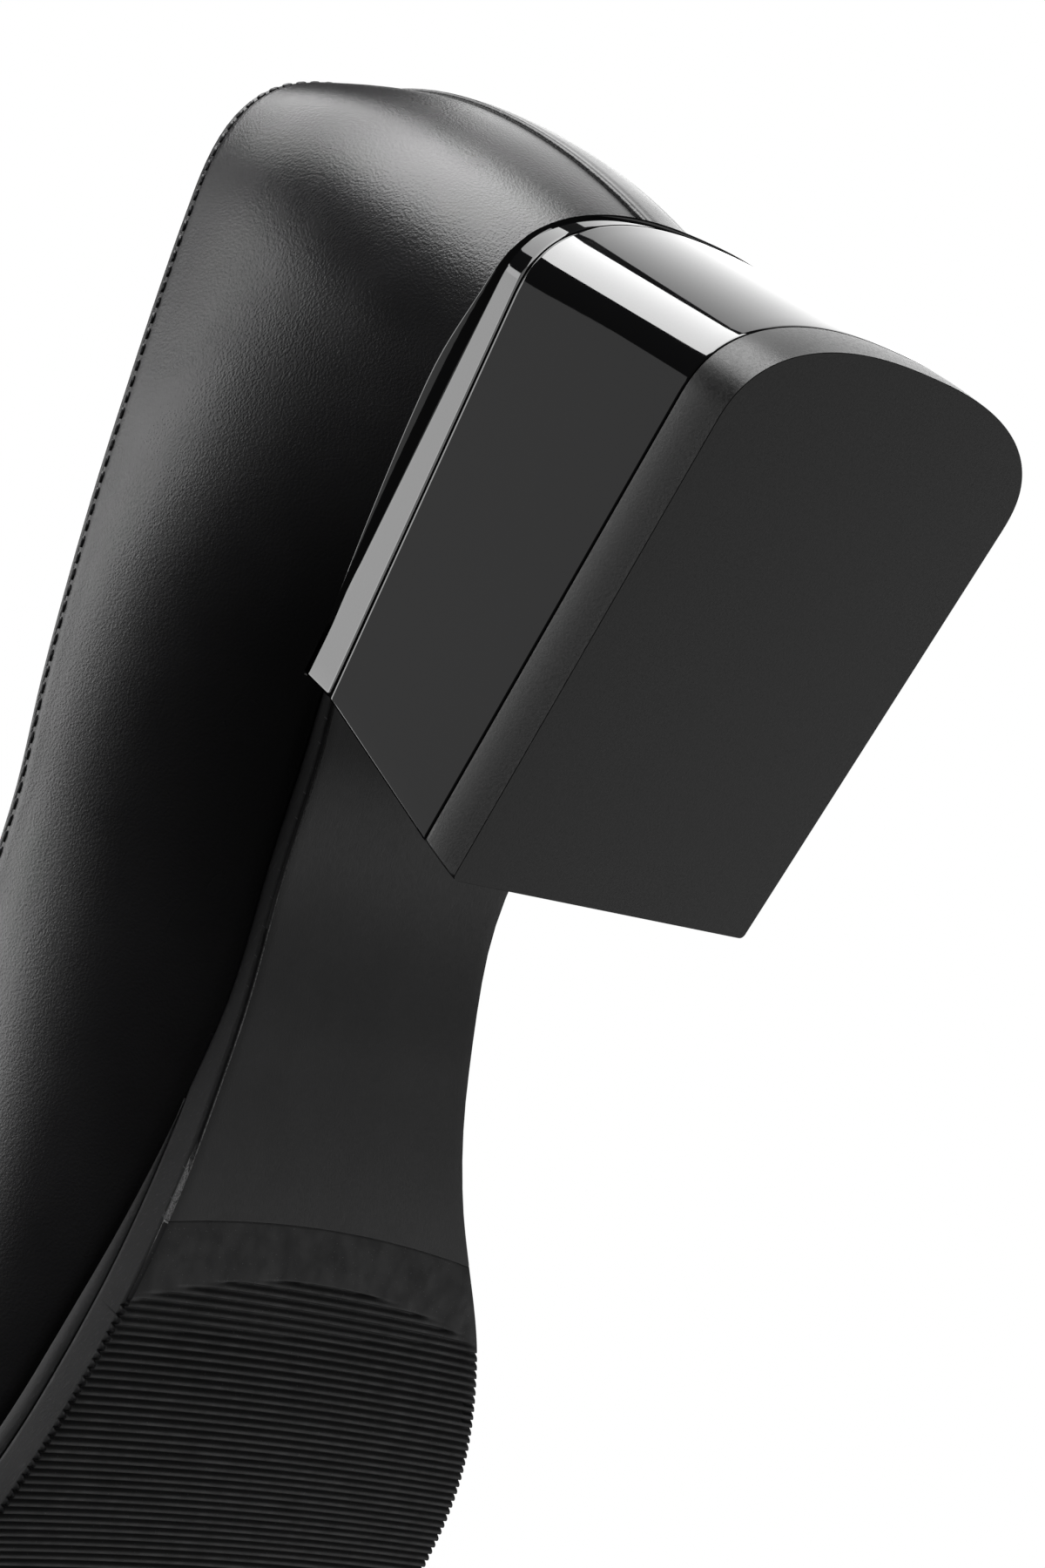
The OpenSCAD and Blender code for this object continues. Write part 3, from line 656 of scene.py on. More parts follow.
def slab(xs, grow, low, high, profile, bow=lambda x, y, u: 0 * y, n=24, n_top=6):
    """A flat piece of the bottom: a row of closed rings. Each ring runs over the underside from the
    inner to the outer edge, up the side by the profile, back over the top and down again. profile
    gives, for the rows, a list of (inset, rise above the underside, drop below the top, mark), with
    one of rise and drop None. Heights are read at each point's own place. bow bends the rows."""
    lines = {s: outline(s, grow) for s in (1, -1)}
    half = {}
    for s in (1, -1):
        y = np.interp(xs, *lines[s])
        for _ in range(6):
            y = np.interp(xs + bow(xs, s * y, s * np.ones_like(xs)), *lines[s])
        half[s] = y
    table = profile(xs)
    first = table[0][0]
    last = table[-1][0]

    def across(inset, count, way):
        u = np.linspace(-1, 1, count)[::way]
        reach = {s: np.maximum(half[s] - inset, 0.0) for s in (1, -1)}
        y = (1 + u) / 2 * reach[1][:, None] - (1 - u) / 2 * reach[-1][:, None]
        return y, np.broadcast_to(u, y.shape)

    def column(s):
        y = np.stack([s * np.maximum(half[s] - row[0], 0.0) for row in table], 1)
        return y, s * np.ones_like(y)

    def heights_of(y, u, rows):
        x = xs[:, None] + bow(xs[:, None], y, u)
        lo, hi = low(x, y, u), high(x, y, u)
        z = np.stack([np.minimum(lo[:, j] + row[1], hi[:, j]) if row[2] is None
                      else np.maximum(hi[:, j] - row[2], lo[:, j]) for j, row in enumerate(rows)], 1)
        return x, z

    parts, marks = [], []
    base = [(0, 0.0, None, 0.0)]
    for kind, s in (("low", 1), ("side", 1), ("top", -1), ("side", -1)):
        if kind == "side":
            rows = table if s > 0 else table[::-1]
            y, u = column(s)
            y, u = (y, u) if s > 0 else (y[:, ::-1], u[:, ::-1])
            x, z = heights_of(y, u, rows)
            marks += [np.broadcast_to(row[3], xs.shape) for row in rows]
        else:
            y, u = across(first if kind == "low" else last, n if kind == "low" else n_top, s)
            y, u = y[:, 1:-1], u[:, 1:-1]
            rows = base * y.shape[1] if kind == "low" else [(0, None, 0.0, 0.0)] * y.shape[1]
            x, z = heights_of(y, u, rows)
            marks += [np.zeros(len(xs))] * y.shape[1]
        parts.append(np.stack([x, y, z], -1))
    return np.concatenate(parts, 1), np.stack(marks, 1)


def cover_arc(u):
    """How far the front end of the waist cover reaches ahead of its first point, across the sole."""
    return 1.5 * (u - 0.35) ** 2


def rib_bow(y):
    """How the ribs bend across the sole."""
    return -0.067 * y + 0.0006 * y * y


def sole_bow(x, y, u):
    """Rows of the outsole: along the end of the waist cover, then along the ribs, then straight."""
    m = ease(COVER_X1 + 0.8, COVER_X1 + 5, x)
    far = 1 - ease(RIB_X1, RIB_X1 + 9, x)
    near = ease(COVER_X0 + 10, COVER_X1 - 12, x)
    return (1 - m) * cover_arc(u) * near + m * far * rib_bow(y)


def rib_height(x, y, depth, pitch):
    """How far the ribbed underside lies above the tops of its ribs: a narrow groove in each pitch,
    fading at the arcs where the ribs start and end."""
    phase = ((x - rib_bow(y) - RIB_X0) / pitch) % 1.0
    cut = np.exp(-((phase - 0.5) / 0.17) ** 2) + 0.16 * (1 - np.cos(2 * math.pi * phase)) / 2
    start = ease(0, 0.25, x - (116.5 + 0.0049 * (y - 6) ** 2))
    end = 1 - ease(0, 0.7, x - rib_bow(y) - RIB_X1 + 0.004 * y * y)
    return depth * cut * start * end


def fine_rows(coarse, x0, x1, step):
    """Distances of rows: coarse ones, and a fine even step between x0 and x1."""
    outside = coarse[(coarse < x0) | (coarse > x1)]
    return np.unique(np.round(np.concatenate([outside, np.arange(x0, x1 + step / 2, step)]), 5))


def end_stops(lo, hi, n):
    """Distances from lo to hi, closer together at both ends."""
    return lo + (hi - lo) * (1 - np.cos(np.linspace(0, math.pi, n))) / 2


# ---- pieces of the heel ----------------------------------------------------------------------
def heel_outline(z, g, ease_r=0.6):
    """The heel's outline at height z, pushed out by g: a superellipse round the back, straight
    sides, and a small round at each corner of the breast. Corner: x = l (1 - cos^k t) and
    y = w sin^k t."""
    b = BACK_LEAN * max(z - LIFT_T, 0)
    f = HEEL_L - BREAST_LEAN * z
    l, w, wf = CORNER_L + g, HEEL_W / 2 + g, BREAST_W / 2 + g
    t = math.pi / 2 * np.linspace(0, 1, 60)
    k = 2 / CORNER_P
    cx, cy = b - g + l * (1 - np.maximum(np.cos(t), 0) ** k), w * np.sin(t) ** k
    u = np.linspace(0, 1, 26)[1:]
    sx, sy = (b - g + l) * (1 - u) + (f - ease_r) * u, w * (1 - u) + wf * u
    a = math.pi / 2 * np.linspace(0, 1, 6)[1:]
    ax, ay = f - ease_r + ease_r * np.sin(a), wf - ease_r + ease_r * np.cos(a)
    c = np.linspace(1, 0, 9)[1:]
    bx, by = np.full(len(c), f), (wf - ease_r) * c
    x, y = np.concatenate([cx, sx, ax, bx]), np.concatenate([cy, sy, ay, by])
    return np.concatenate([x, x[-2:0:-1]]), np.concatenate([y, -y[-2:0:-1]])


def heel_ring(z, g, height):
    """A ring of the heel: the outline at height z, each point at its own height."""
    x, y = heel_outline(z, g)
    return np.stack([x, y, height(x) + 0 * x], -1)


def band_ring(part, height, out=0.0):
    """A ring of the seat band: the outline moved in by a part of the strip's lean and out by a
    step, each point at its own height."""
    x, y = heel_outline(30, 0)
    x1, y1 = heel_outline(30, 1)
    step = out - part * STRIP_LEAN * (strip_z(x) - groove_z(x))
    return np.stack([x + step * (x1 - x), y + step * (y1 - y), height(x) + 0 * x], -1)


def groove_z(x):
    """Height of the joint between the block and the seat band."""
    return 31.1 - 0.1014 * x


def strip_z(x):
    """Height of the upper edge of the seat band's flat strip."""
    return groove_z(x) + 2.3 + 0.045 * x


def lip_z(x):
    """Height of the lip above it, which swells at the sides."""
    return np.maximum(read(LIP_Z, x), strip_z(x) + 0.1)


def between(a, b, n):
    """Rings evenly spread between two rings."""
    t = np.linspace(0, 1, n + 1)[1:-1, None, None]
    return a[None] * (1 - t) + b[None] * t


# ---- sizes -----------------------------------------------------------------------------------
LEATHER_T, LINING_D, INSIDE_D, FOLD_T, STITCH_G = 1.1, 1.9, 2.7, 1.8, 1.2
SEAM_X, LINING_X, STAY_X, STAY_T = 100.0, 112.0, 0.5, 0.5
BOARD_T, SOCK_T, CUSHION_X, CUSHION_T, WELT_T, WELT_X = 2.0, 1.2, 70.0, 2.4, 2.2, 102.0
COVER_X0, COVER_X1 = 42.0, 111.0
RIB_X0, RIB_X1 = 119.4, 232.0
HEEL_L, HEEL_W, BREAST_W, LIFT_T, CORNER_L, CORNER_P = 64.5, 53.6, 51.2, 5.5, 12.0, 2.45
BREAST_LEAN, BACK_LEAN, STRIP_LEAN = 0.19, 0.07, 0.15


def settings():
    """The sizes and colours set in the panel."""
    return bpy.context.scene.shoe


class ShoeSettings(PropertyGroup):
    """Sizes and colours of the shoe that a maker would change."""
    stitch_pitch: FloatProperty(name="Stitch pitch", description="Distance between topline stitches",
                                default=1.8 * MM, unit="LENGTH", precision=5)
    thread_r: FloatProperty(name="Thread radius", description="Radius of the sewing thread",
                            default=0.24 * MM, unit="LENGTH", precision=5)
    rib_pitch: FloatProperty(name="Rib pitch", description="Distance from rib to rib under the forepart",
                             default=0.94 * MM, unit="LENGTH", precision=5)
    rib_depth: FloatProperty(name="Rib depth", description="Depth of the grooves between the ribs",
                             default=0.42 * MM, unit="LENGTH", precision=5)
    upper_colour: FloatVectorProperty(name="Upper", description="Colour of the upper leather",
                                      subtype="COLOR", size=3, default=(0.010, 0.0098, 0.0105))
    lining_colour: FloatVectorProperty(name="Lining", description="Colour of the lining leather",
                                       subtype="COLOR", size=3, default=(0.50, 0.38, 0.26))
    thread_colour: FloatVectorProperty(name="Thread", description="Colour of the thread",
                                       subtype="COLOR", size=3, default=(0.006, 0.006, 0.007))
    sole_colour: FloatVectorProperty(name="Sole", description="Colour of the sole rubber",
                                     subtype="COLOR", size=3, default=(0.030, 0.030, 0.031))
    waist_colour: FloatVectorProperty(name="Waist", description="Colour of the waist cover",
                                      subtype="COLOR", size=3, default=(0.034, 0.034, 0.035))
    edge_colour: FloatVectorProperty(name="Edges", description="Colour of the inked edges",
                                     subtype="COLOR", size=3, default=(0.009, 0.009, 0.0095))
    lacquer_colour: FloatVectorProperty(name="Heel lacquer", description="Colour of the heel's lacquer",
                                        subtype="COLOR", size=3, default=(0.0015, 0.0015, 0.0017))
    lift_colour: FloatVectorProperty(name="Top lift", description="Colour of the top lift's rubber",
                                     subtype="COLOR", size=3, default=(0.010, 0.010, 0.010))
    foam_colour: FloatVectorProperty(name="Foam", description="Colour of the heel cushion",
                                     subtype="COLOR", size=3, default=(0.75, 0.66, 0.42))
    lens: FloatProperty(name="Lens", description="Focal length of the camera, in millimetres", default=90.0)


# ---- operators -------------------------------------------------------------------------------
class SHOE_OT_upper(Operator):
    """Cut, fold and stitch the pieces of the upper"""
    bl_idname = "shoe.upper"
    bl_label = "Upper"

    def execute(self, context):
        s = settings()
        edge = topline()
        leather = black_leather(s.upper_colour)
        leather_piece("folded_vamp", "vamp", [(0, TOE_X, 1), (TOE_X, SEAM_X, -1)], edge, leather, SEAM_X)
        leather_piece("inner_quarter", "medial_quarter", [(0, SEAM_X, -1)], edge, leather)
        back_stay_piece(edge, leather)
        thread = waxed_thread(s.thread_colour)
        line, way, normal, down = edge
        places = along(line, s.stitch_pitch / MM, True)
        way, normal, down = (unit(pick(a, places)) for a in (way, normal, down))
        centres = pick(line, places) + down * STITCH_G
        points, faces = stitches(centres, way, normal, 0.74 * s.stitch_pitch / MM, s.thread_r / MM, 0.02)
        seen = new_piece("topline_stitches", points, faces, thread, 60, 0.0001)
        fit_piece(seen, "topline_thread")
        rows = []
        for x in (SEAM_X + 1.2, SEAM_X + 3.0):
            xs, side = np.array([x]), np.array([-1.0])
            v = np.linspace(0.05, 0.965, 200)[None]
            path = skin(xs, side, v, -0.38)[0]
            out = skin(xs, side, v, -1.38)[0] - path
            at = along(path, 2.2)
            at = at[at < len(path) - 1]
            way = unit(np.gradient(path, axis=0))
            rows.append([pick(a, at) for a in (path, way, out)])
        path, way, out = (np.concatenate(part) for part in zip(*rows))
        points, faces = stitches(path, unit(way), unit(out), 1.6, s.thread_r / MM)
        fit_piece(new_piece("side_seam_stitches", points, faces, thread, 60, 0.0001), "seam_thread")
        return {"FINISHED"}


class SHOE_OT_lining(Operator):
    """Line the upper and lay the sock over its heel cushion"""
    bl_idname = "shoe.lining"
    bl_label = "Lining"

    def execute(self, context):
        s = settings()
        edge = topline()
        leather = lining_leather("lining_leather", s.lining_colour)
        front = [(LINING_X, TOE_X, 1), (TOE_X, LINING_X, -1)]
        lining_piece("forepart_lining", "vamp_lining", front, edge, leather)
        lining_piece("heel_lining", "quarter_lining", [(LINING_X, 0, -1), (0, LINING_X, 1)], edge, leather)

        def inside(x, side):
            return -INSIDE_D * foot_tan(x, side) - 0.15

        def dome(x, u):
            return CUSHION_T * (1 - u * u) * np.clip(1 - (2 * x / CUSHION_X - 1) ** 4, 0, 1) * (x < CUSHION_X)

        base = INSIDE_D + BOARD_T
        lo, hi = outline(1, inside)[0][[0, -1]]
        soft = [(0.0, 0.0, None, 0.0), (0.0, None, 0.35, 0.0), (0.12, None, 0.1, 0.0), (0.4, None, 0.0, 0.0)]
        rows, _ = slab(end_stops(lo + 0.02, hi - 0.02, 150), inside,
                       lambda x, y, u: rest(x) + base + dome(x, u),
                       lambda x, y, u: rest(x) + base + SOCK_T + dome(x, u),
                       lambda x: soft, n=30, n_top=30)
        points, faces = loft(rows)
        darker = lining_leather("sock_leather", tuple(c * 0.94 for c in s.lining_colour))
        fit_piece(new_piece("sock", points, faces, darker, 45), "sock_lining")

        def pad_edge(x, side):
            return inside(x, side) - 1.0

        pad = [(0.6, 0.0, None, 0.0), (0.0, 0.02, None, 0.0), (0.6, None, 0.0, 0.0)]
        rows, _ = slab(end_stops(outline(1, pad_edge)[0][0] + 0.1, CUSHION_X - 2, 60), pad_edge,
                       lambda x, y, u: rest(x) + base,
                       lambda x, y, u: rest(x) + base + 0.9 * dome(x, u) + 0.03,
                       lambda x: pad, n=16, n_top=24)
        points, faces = loft(rows)
        foam = plain_stuff("latex_foam", tuple(s.foam_colour), 0.85, 0.6, 0.2)
        cushion = fit_piece(new_piece("heel_pad", points, faces, foam, 50), "heel_cushion")
        return {"FINISHED"}


class SHOE_OT_sole(Operator):
    """Lay the welt, the ribbed outsole and the cover of the waist"""
    bl_idname = "shoe.sole"
    bl_label = "Sole"

    def execute(self, context):
        s = settings()

        def proud(x, side):
            return read(SOLE_EDGE, x)

        def welt_low(x):
            return rest(x) - WELT_T * read(WELT_SHARE, x)

        tip = outline(1, proud)[0][-1]
        back = outline(1, proud)[0][0]
        welt_side = [(0.2, 0.0, None, 0.0), (0.07, 0.06, None, 0.0), (0.0, 0.2, None, 0.0),
                     (0.0, None, 0.3, 0.0), (0.1, None, 0.08, 0.0), (0.3, None, 0.0, 0.0)]
        xs = WELT_X + (tip - 0.02 - WELT_X) * np.sin(np.linspace(0, math.pi / 2, 150))
        rows, _ = slab(xs, proud, lambda x, y, u: welt_low(x), lambda x, y, u: rest(x),
                       lambda x: welt_side, n=8, n_top=8)
        points, faces = loft(rows)
        edge_ink = ground_edge("inked_edge", s.edge_colour, 0.42, 0.2)
        fit_piece(new_piece("welt_band", points, faces, edge_ink, 40), "welt")

        pitch, depth = s.rib_pitch / MM, s.rib_depth / MM

        def tread(x, y, u):
            ahead = 1 - ease(0.03, 0.12, x - COVER_X1 - cover_arc(u))
            recess = 0.07 * ahead * ease(COVER_X0 + 2, COVER_X0 + 12, x)
            return under(x) + recess + rib_height(x, y, depth, pitch)

        def sole_top(x, y, u):
            return np.where(x < WELT_X, rest(x), welt_low(x))

        def tall(x):
            return read(SOLE_T, x) - np.where(x < WELT_X, 0, WELT_T * read(WELT_SHARE, x))

        def sole_side(x):
            b = 0.22 + 0.2 * (1 - ease(116, 130, x)) * ease(COVER_X1 - 8, COVER_X1 - 2, x)
            # m: where the outsole's bevel carries painted glints, near the front end of the waist
            m = (1 - ease(113, 118, x)) * ease(COVER_X1 - 8, COVER_X1 - 2, x)
            plain = 0 * x
            return [(b + 0.04, 0.0, None, plain), (b, 0.01, None, m), (0.06, b * 0.8, None, m),
                    (0.0, b * 0.8 + 0.08, None, plain), (0.0, None, np.maximum(tall(x) - 0.8, 0.55), plain),
                    (0.0, None, 0.5, plain), (0.02, None, 0.2, plain), (0.1, None, 0.06, plain),
                    (0.22, None, 0.0, plain)]

        xs = fine_rows(end_stops(back + 0.02, tip - 0.02, 130), COVER_X1 - 0.6, RIB_X1 + 1.5, pitch / 8)
        rows, marks = slab(xs, proud, tread, sole_top, sole_side, sole_bow, n=34, n_top=5)
        points, faces = loft(rows)
        rubber = sole_rubber(s.sole_colour)
        sole = new_piece("ribbed_outsole", points, faces, rubber, 70, 0.004, marks)
        sole.data.materials.append(edge_ink)
        fit_piece(sole, "outsole")
        paint_walls(sole)

        def cover_bow(x, y, u):
            return cover_arc(u) * ease(COVER_X0 + 10, COVER_X1 - 12, x)

        def cover_side(x):
            on = ease(COVER_X0 + 6, COVER_X0 + 26, x)
            b = 0.2 + 0.22 * on
            # where the cover's bevel carries painted glints, growing towards the front of the waist
            wear_and_glints = ease(56, 84, x)
            return [(b + 0.05, 0.0, None, 0 * x), (b, 0.01, None, wear_and_glints), (0.05, b * 0.75, None, wear_and_glints),
                    (0.0, b * 0.75 + 0.05, None, 0 * x), (0.0, None, 0.0, 0 * x)]

        def cover_low(x, y, u):
            front = COVER_X1 + cover_arc(u) - x
            return under(x) + rounded(front, 0.06)

        def cover_top(x, y, u):
            return under(x) + 0.06 + 0.74 * ease(COVER_X0, COVER_X0 + 9, x)

        last_rows = COVER_X1 - np.array([0.6, 0.35, 0.24, 0.15, 0.08, 0.03, 0.0])
        xs = np.concatenate([np.linspace(COVER_X0, COVER_X1 - 1.0, 120), last_rows])
        rows, marks = slab(xs, proud, cover_low, cover_top, cover_side, cover_bow, n=30, n_top=6)
        points, faces = loft(rows)
        skin_finish = ground_edge("waist_skin", s.waist_colour, 0.36, 0.5)
        cover = new_piece("waist_skin", points, faces, skin_finish, 40, 0.004, marks)
        fit_piece(cover, "waist_cover")
        return {"FINISHED"}


def paint_walls(piece):
    """The second finish goes on the faces of the sole's edge, which stand steeper than 50 degrees
    and lie within 1.2 mm of its outline."""
    mesh = piece.data
    n = len(mesh.polygons)
    normal, centre = np.empty(n * 3), np.empty(n * 3)
    mesh.polygons.foreach_get("normal", normal)
    mesh.polygons.foreach_get("center", centre)
    normal, centre = normal.reshape(-1, 3), centre.reshape(-1, 3) / MM + MIDDLE
    flat = np.linalg.norm(normal[:, :2], axis=1)
    reach = np.where(centre[:, 1] > 0, np.interp(centre[:, 0], *outline(1, lambda x, s: read(SOLE_EDGE, x))),
                     np.interp(centre[:, 0], *outline(-1, lambda x, s: read(SOLE_EDGE, x))))
    wall = (flat > 0.77) & (np.abs(centre[:, 1]) > reach - 1.2)
    tipped = (centre[:, 0] > TOE_C + 12) & (flat > 0.9)
    mesh.polygons.foreach_set("material_index", (wall | tipped).astype(np.int32))
    mesh.update()


class SHOE_OT_heel(Operator):
    """Turn out the lacquered heel, its seat band and the rubber top lift"""
    bl_idname = "shoe.heel"
    bl_label = "Heel"

    def execute(self, context):
        s = settings()
        gloss = lacquer(s.lacquer_colour)
        foot = heel_ring(LIFT_T, 0, lambda x: LIFT_T + 0.3)
        head = heel_ring(29, 0, lambda x: groove_z(x) - 0.4)
        low_edge = ((-0.9, 0.0), (-0.12, 0.0), (-0.03, 0.03), (0, 0.12))
        top_edge = ((29, 0, 0.2), (29, -0.05, 0.1), (30, -0.25, 0.04), (30, -0.9, 0.0))
        rings = [heel_ring(LIFT_T, g, lambda x, h=rise: LIFT_T + h)[None] for g, rise in low_edge]
        rings += [foot[None], between(foot, head, 14), head[None]]
        rings += [heel_ring(z, g, lambda x, h=drop: groove_z(x) - h)[None] for z, g, drop in top_edge]
        points, faces = loft(np.concatenate(rings))
        fit_piece(new_piece("lacquered_block", points, faces, gloss, 45), "heel_block")

        foot = [(-0.9, 0.0), (-0.25, 0.03), (-0.05, 0.07), (0.0, 0.14)]
        rings = [band_ring(0, lambda x, h=rise: groove_z(x) + h, out)[None] for out, rise in foot]
        low = band_ring(0.15, lambda x: groove_z(x) + 0.3)
        top = band_ring(0.97, lambda x: strip_z(x) - 0.1)
        rings += [low[None], between(low, top, 8), top[None]]
        lens = ((0.0, 0.0), (0.03, 0.07), (0.2, 0.5), (0.33, 0.86), (0.31, 0.94), (0.2, 0.985), (0.0, 1.0),
                (-0.5, 1.01))
        for out, q in lens:
            rings.append(band_ring(1, lambda x, q=q: strip_z(x) * (1 - q) + lip_z(x) * q, out)[None])
        for inset, fall in ((-1.6, 0.05), (-3.0, 0.15), (-5.0, 0.35), (-6.5, 0.6)):
            ledge = heel_ring(30, inset, lambda x, h=fall: np.maximum(lip_z(x) - h, under(x) + 0.1))
            rings.append(ledge[None])
        rings.append(heel_ring(30, -6.6, lambda x: under(x))[None])
        points, faces = loft(np.concatenate(rings))
        fit_piece(new_piece("seat_band", points, faces, gloss, 32), "heel_seat_band")

        lift = ((0, -0.35, 0.0), (0.1, -0.07, 0.0), (0.3, -0.01, 0.06), (0.6, 0.0, 0.6), (1.8, 0.05, 1.8),
                (3.4, 0.05, 3.4), (LIFT_T - 0.5, 0.0, LIFT_T - 0.5), (LIFT_T - 0.15, -0.04, LIFT_T - 0.15),
                (LIFT_T, -0.2, LIFT_T), (LIFT_T, -1.0, LIFT_T))
        rings = [heel_ring(z, g, lambda x, h=high: h) for z, g, high in lift]
        points, faces = loft(np.stack(rings))
        rubber = plain_stuff("lift_rubber", tuple(s.lift_colour), 0.36, 0.3, 0.03, shine=0.26)
        fit_piece(new_piece("rubber_top_lift", points, faces, rubber, 40), "top_lift")
        return {"FINISHED"}


class SHOE_OT_inner(Operator):
    """Give each hidden piece of the frame its finish"""
    bl_idname = "shoe.inner"
    bl_label = "Inner pieces"

    def execute(self, context):
        steel = plain_stuff("bright_steel", (0.55, 0.56, 0.58), 0.34, 0.5, 0.02, 1.0, (1, 1, 0.1))
        made = {
            ("topline_tape",): plain_stuff("woven_tape", (0.42, 0.42, 0.40), 0.8, 0.4, 0.08,
                                           0.0, (0.4, 1, 1)),
            ("toe_puff", "heel_counter"): plain_stuff("fibre_stiffener", (0.48, 0.40, 0.27), 0.8, 1.2, 0.08),
            ("insole_board",): plain_stuff("insole_board", (0.34, 0.22, 0.11), 0.75, 0.8, 0.06),
            ("shank",): plain_stuff("spring_steel", (0.30, 0.32, 0.35), 0.38, 0.6, 0.02, 1.0, (0.1, 1, 1)),
            ("shank_rivets",): plain_stuff("brass", (0.66, 0.52, 0.22), 0.3, 0.5, 0.02, 1.0),
            ("bottom_filler",): plain_stuff("cork_filler", (0.22, 0.12, 0.05), 0.9, 1.6, 0.25),
            ("top_lift_pins", "heel_screw", "heel_nails"): steel,
        }
        for nodes, material in made.items():
            for name in nodes:
                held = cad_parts[name].data.materials
                held.clear()
                held.append(material)
        return {"FINISHED"}


def softbox(name, aim, distance, turn, rise, size, glow):
    """A rectangular lamp looking at a point of the shoe: turn degrees from its outer side towards
    the back of the heel, rise degrees up from the floor, with an even glow."""
    lamp = bpy.data.lights.new(name, "AREA")
    lamp.shape, lamp.size, lamp.size_y = "RECTANGLE", size[0], size[1]
    lamp.energy = glow * size[0] * size[1] * math.pi
    o = bpy.data.objects.new(name, lamp)
    a, b = math.radians(turn), math.radians(rise)
    way = Vector((-math.sin(a) * math.cos(b), math.cos(a) * math.cos(b), math.sin(b)))
    o.location = Vector(aim) + way * distance
    o.rotation_euler = way.to_track_quat("Z", "Y").to_euler()
    o.visible_camera = False
    bpy.context.collection.objects.link(o)
    return o


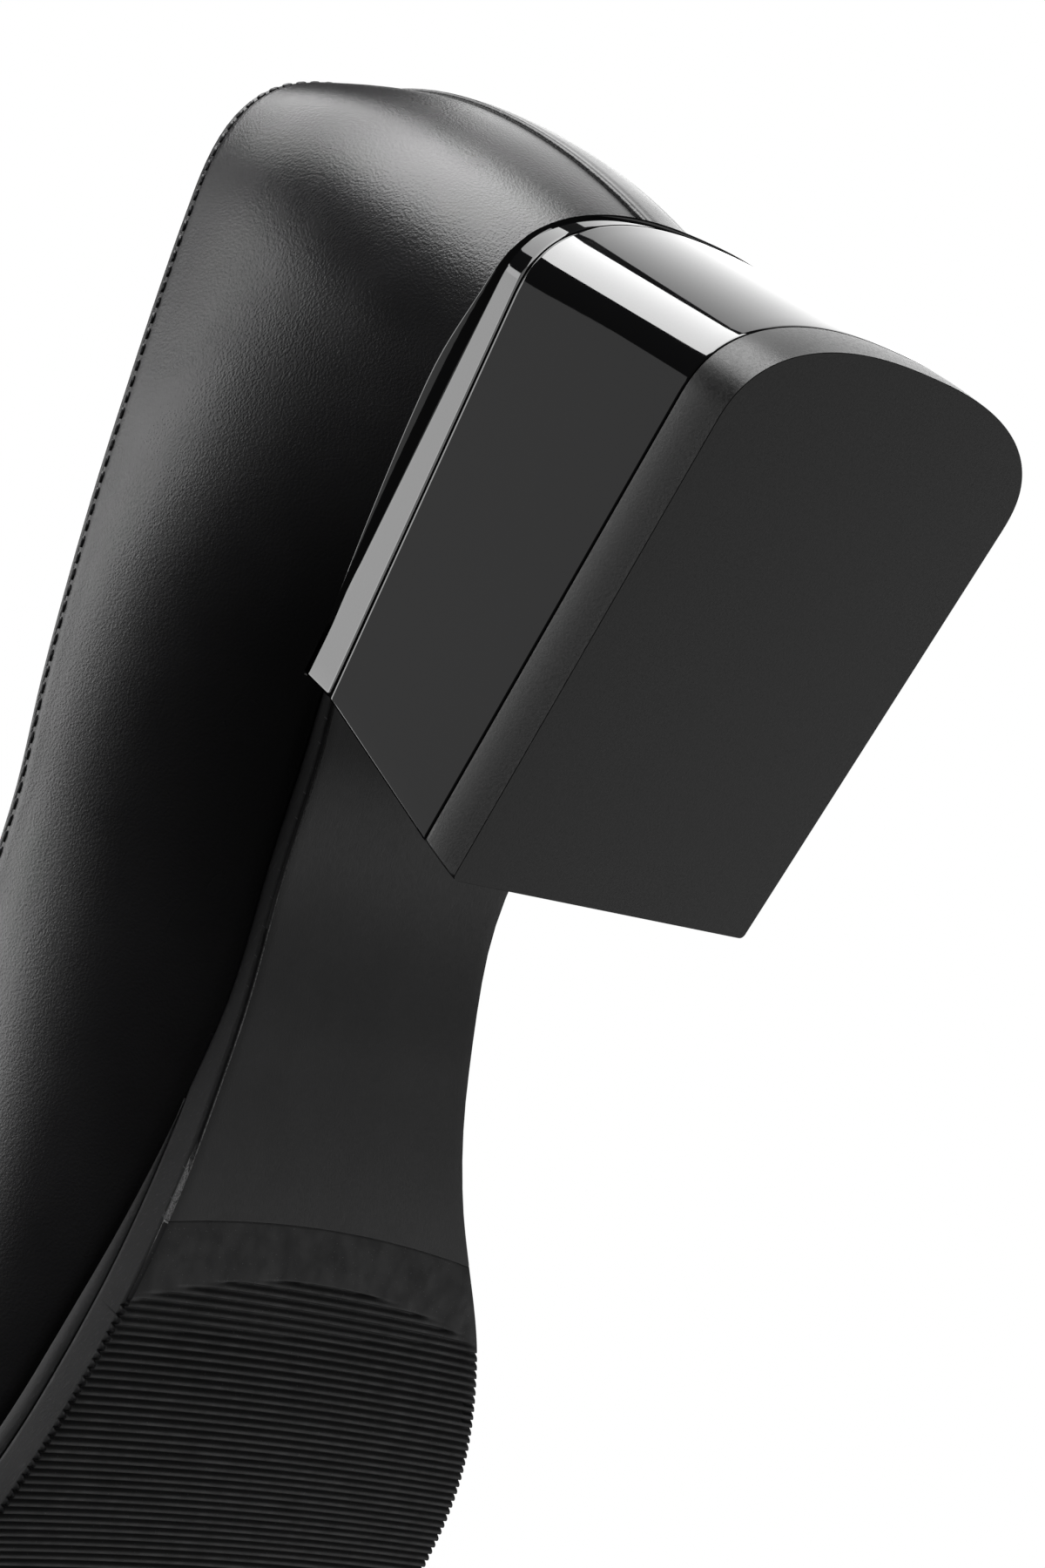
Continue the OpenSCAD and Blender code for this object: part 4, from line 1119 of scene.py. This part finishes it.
class SHOE_OT_stage(Operator):
    """Set the floor, the lamps and the camera"""
    bl_idname = "shoe.stage"
    bl_label = "Stage"

    def execute(self, context):
        scene = context.scene
        scene.view_settings.view_transform = "Standard"
        half = 3.0
        mesh = bpy.data.meshes.new("floor")
        corners = [(-half, -half, 0), (half, -half, 0), (half, half, 0), (-half, half, 0)]
        mesh.from_pydata(corners, [], [(0, 1, 2, 3)])
        floor = bpy.data.objects.new("floor", mesh)
        context.collection.objects.link(floor)
        m = bpy.data.materials.new("pale_floor")
        m.use_nodes = True
        t = m.node_tree
        t.nodes.clear()
        matt = add(t, "ShaderNodeBsdfDiffuse", {"Color": (0.86, 0.86, 0.86, 1)})
        place_on = add(t, "ShaderNodeTexCoord").outputs["Object"]
        way_off = add(t, "ShaderNodeVectorMath", {0: place_on}, operation="LENGTH")
        far = scale_to(t, way_off.outputs["Value"], 0, 1, 0.2, 0.7)
        glow = add(t, "ShaderNodeEmission", {"Color": (1, 1, 1, 1), "Strength": far})
        pale = add(t, "ShaderNodeAddShader", {0: matt.outputs[0], 1: glow.outputs[0]})
        clear = add(t, "ShaderNodeBsdfTransparent")
        back = add(t, "ShaderNodeNewGeometry").outputs["Backfacing"]
        both = add(t, "ShaderNodeMixShader", {0: back})
        t.links.new(pale.outputs[0], both.inputs[1])
        t.links.new(clear.outputs[0], both.inputs[2])
        add(t, "ShaderNodeOutputMaterial", {"Surface": both.outputs[0]})
        mesh.materials.append(m)
        floor.visible_diffuse = floor.visible_glossy = False
        floor.visible_transmission = floor.visible_shadow = False

        world = bpy.data.worlds.new("studio")
        scene.world = world
        world.use_nodes = True
        t = world.node_tree
        t.nodes.clear()
        seen = add(t, "ShaderNodeLightPath").outputs["Is Camera Ray"]
        white = add(t, "ShaderNodeBackground", {"Color": (1, 1, 1, 1), "Strength": 1.0})
        room = add(t, "ShaderNodeBackground", {"Color": (1, 1, 1, 1), "Strength": 0.05})
        both = add(t, "ShaderNodeMixShader", {0: seen})
        t.links.new(room.outputs[0], both.inputs[1])
        t.links.new(white.outputs[0], both.inputs[2])
        add(t, "ShaderNodeOutputWorld", {"Surface": both.outputs[0]})

        heel, middle = (-0.09, 0.0, 0.03), (0.0, 0.0, 0.04)
        softbox("overhead", middle, 1.2, -35, 74, (1.2, 0.5), 1.2)
        softbox("outer_high", heel, 1.3, -31, 53.5, (1.15, 0.40), 5.0)
        softbox("outer_dim", heel, 1.2, -27, 36, (1.25, 0.34), 0.65)
        softbox("behind", heel, 1.2, 75, 31, (0.90, 0.66), 12.0)
        softbox("behind_high", heel, 1.2, 82, 61, (0.9, 0.62), 4.5)
        softbox("inner_wall", heel, 1.2, 147, 35, (1.5, 0.56), 2.0)
        softbox("inner_far", heel, 1.2, 200, 36, (0.9, 0.62), 1.0)
        softbox("below", middle, 1.2, -164, -38, (1.4, 1.0), 0.65)

        camera = bpy.data.cameras.new("camera")
        camera.lens = context.scene.shoe.lens
        camera.sensor_fit, camera.sensor_width = "AUTO", 36.0
        camera.clip_start, camera.clip_end = 0.01, 50
        o = bpy.data.objects.new("camera", camera)
        context.collection.objects.link(o)
        right, down, ahead = (np.array(r) for r in CAMERA_AXES)
        rows = [[right[i], -down[i], -ahead[i], CAMERA_AT[i]] for i in range(3)]
        o.matrix_world = Matrix(rows + [[0, 0, 0, 1]])
        scene.camera = o
        return {"FINISHED"}


# Right, down and ahead of the camera, and where it stands, in metres
CAMERA_AXES = ((-0.4988, -0.6045, -0.6211), (0.8354, -0.1444, -0.5304), (0.2309, -0.7834, 0.5770))
CAMERA_AT = (-0.1592, 0.32647, -0.2222)


class SHOE_PT_panel(Panel):
    """Pieces of the shoe"""
    bl_idname = "SHOE_PT_panel"
    bl_label = "Court shoe"
    bl_space_type = "VIEW_3D"
    bl_region_type = "UI"
    bl_category = "Shoe"

    def draw(self, context):
        for name in ShoeSettings.__annotations__:
            self.layout.prop(context.scene.shoe, name)
        for step in STEPS:
            self.layout.operator(step.bl_idname)


STEPS = (SHOE_OT_stage, SHOE_OT_upper, SHOE_OT_lining, SHOE_OT_sole, SHOE_OT_heel, SHOE_OT_inner)
CLASSES = (ShoeSettings, *STEPS, SHOE_PT_panel)


def register():
    """Add the classes and the settings to Blender."""
    for c in CLASSES:
        bpy.utils.register_class(c)
    bpy.types.Scene.shoe = PointerProperty(type=ShoeSettings)


def unregister():
    """Take them away again."""
    del bpy.types.Scene.shoe
    for c in reversed(CLASSES):
        bpy.utils.unregister_class(c)


def main():
    """Build every piece in order."""
    register()
    for step in STEPS:
        group, name = step.bl_idname.split(".")
        getattr(getattr(bpy.ops, group), name)()


if __name__ == "__main__":
    main()
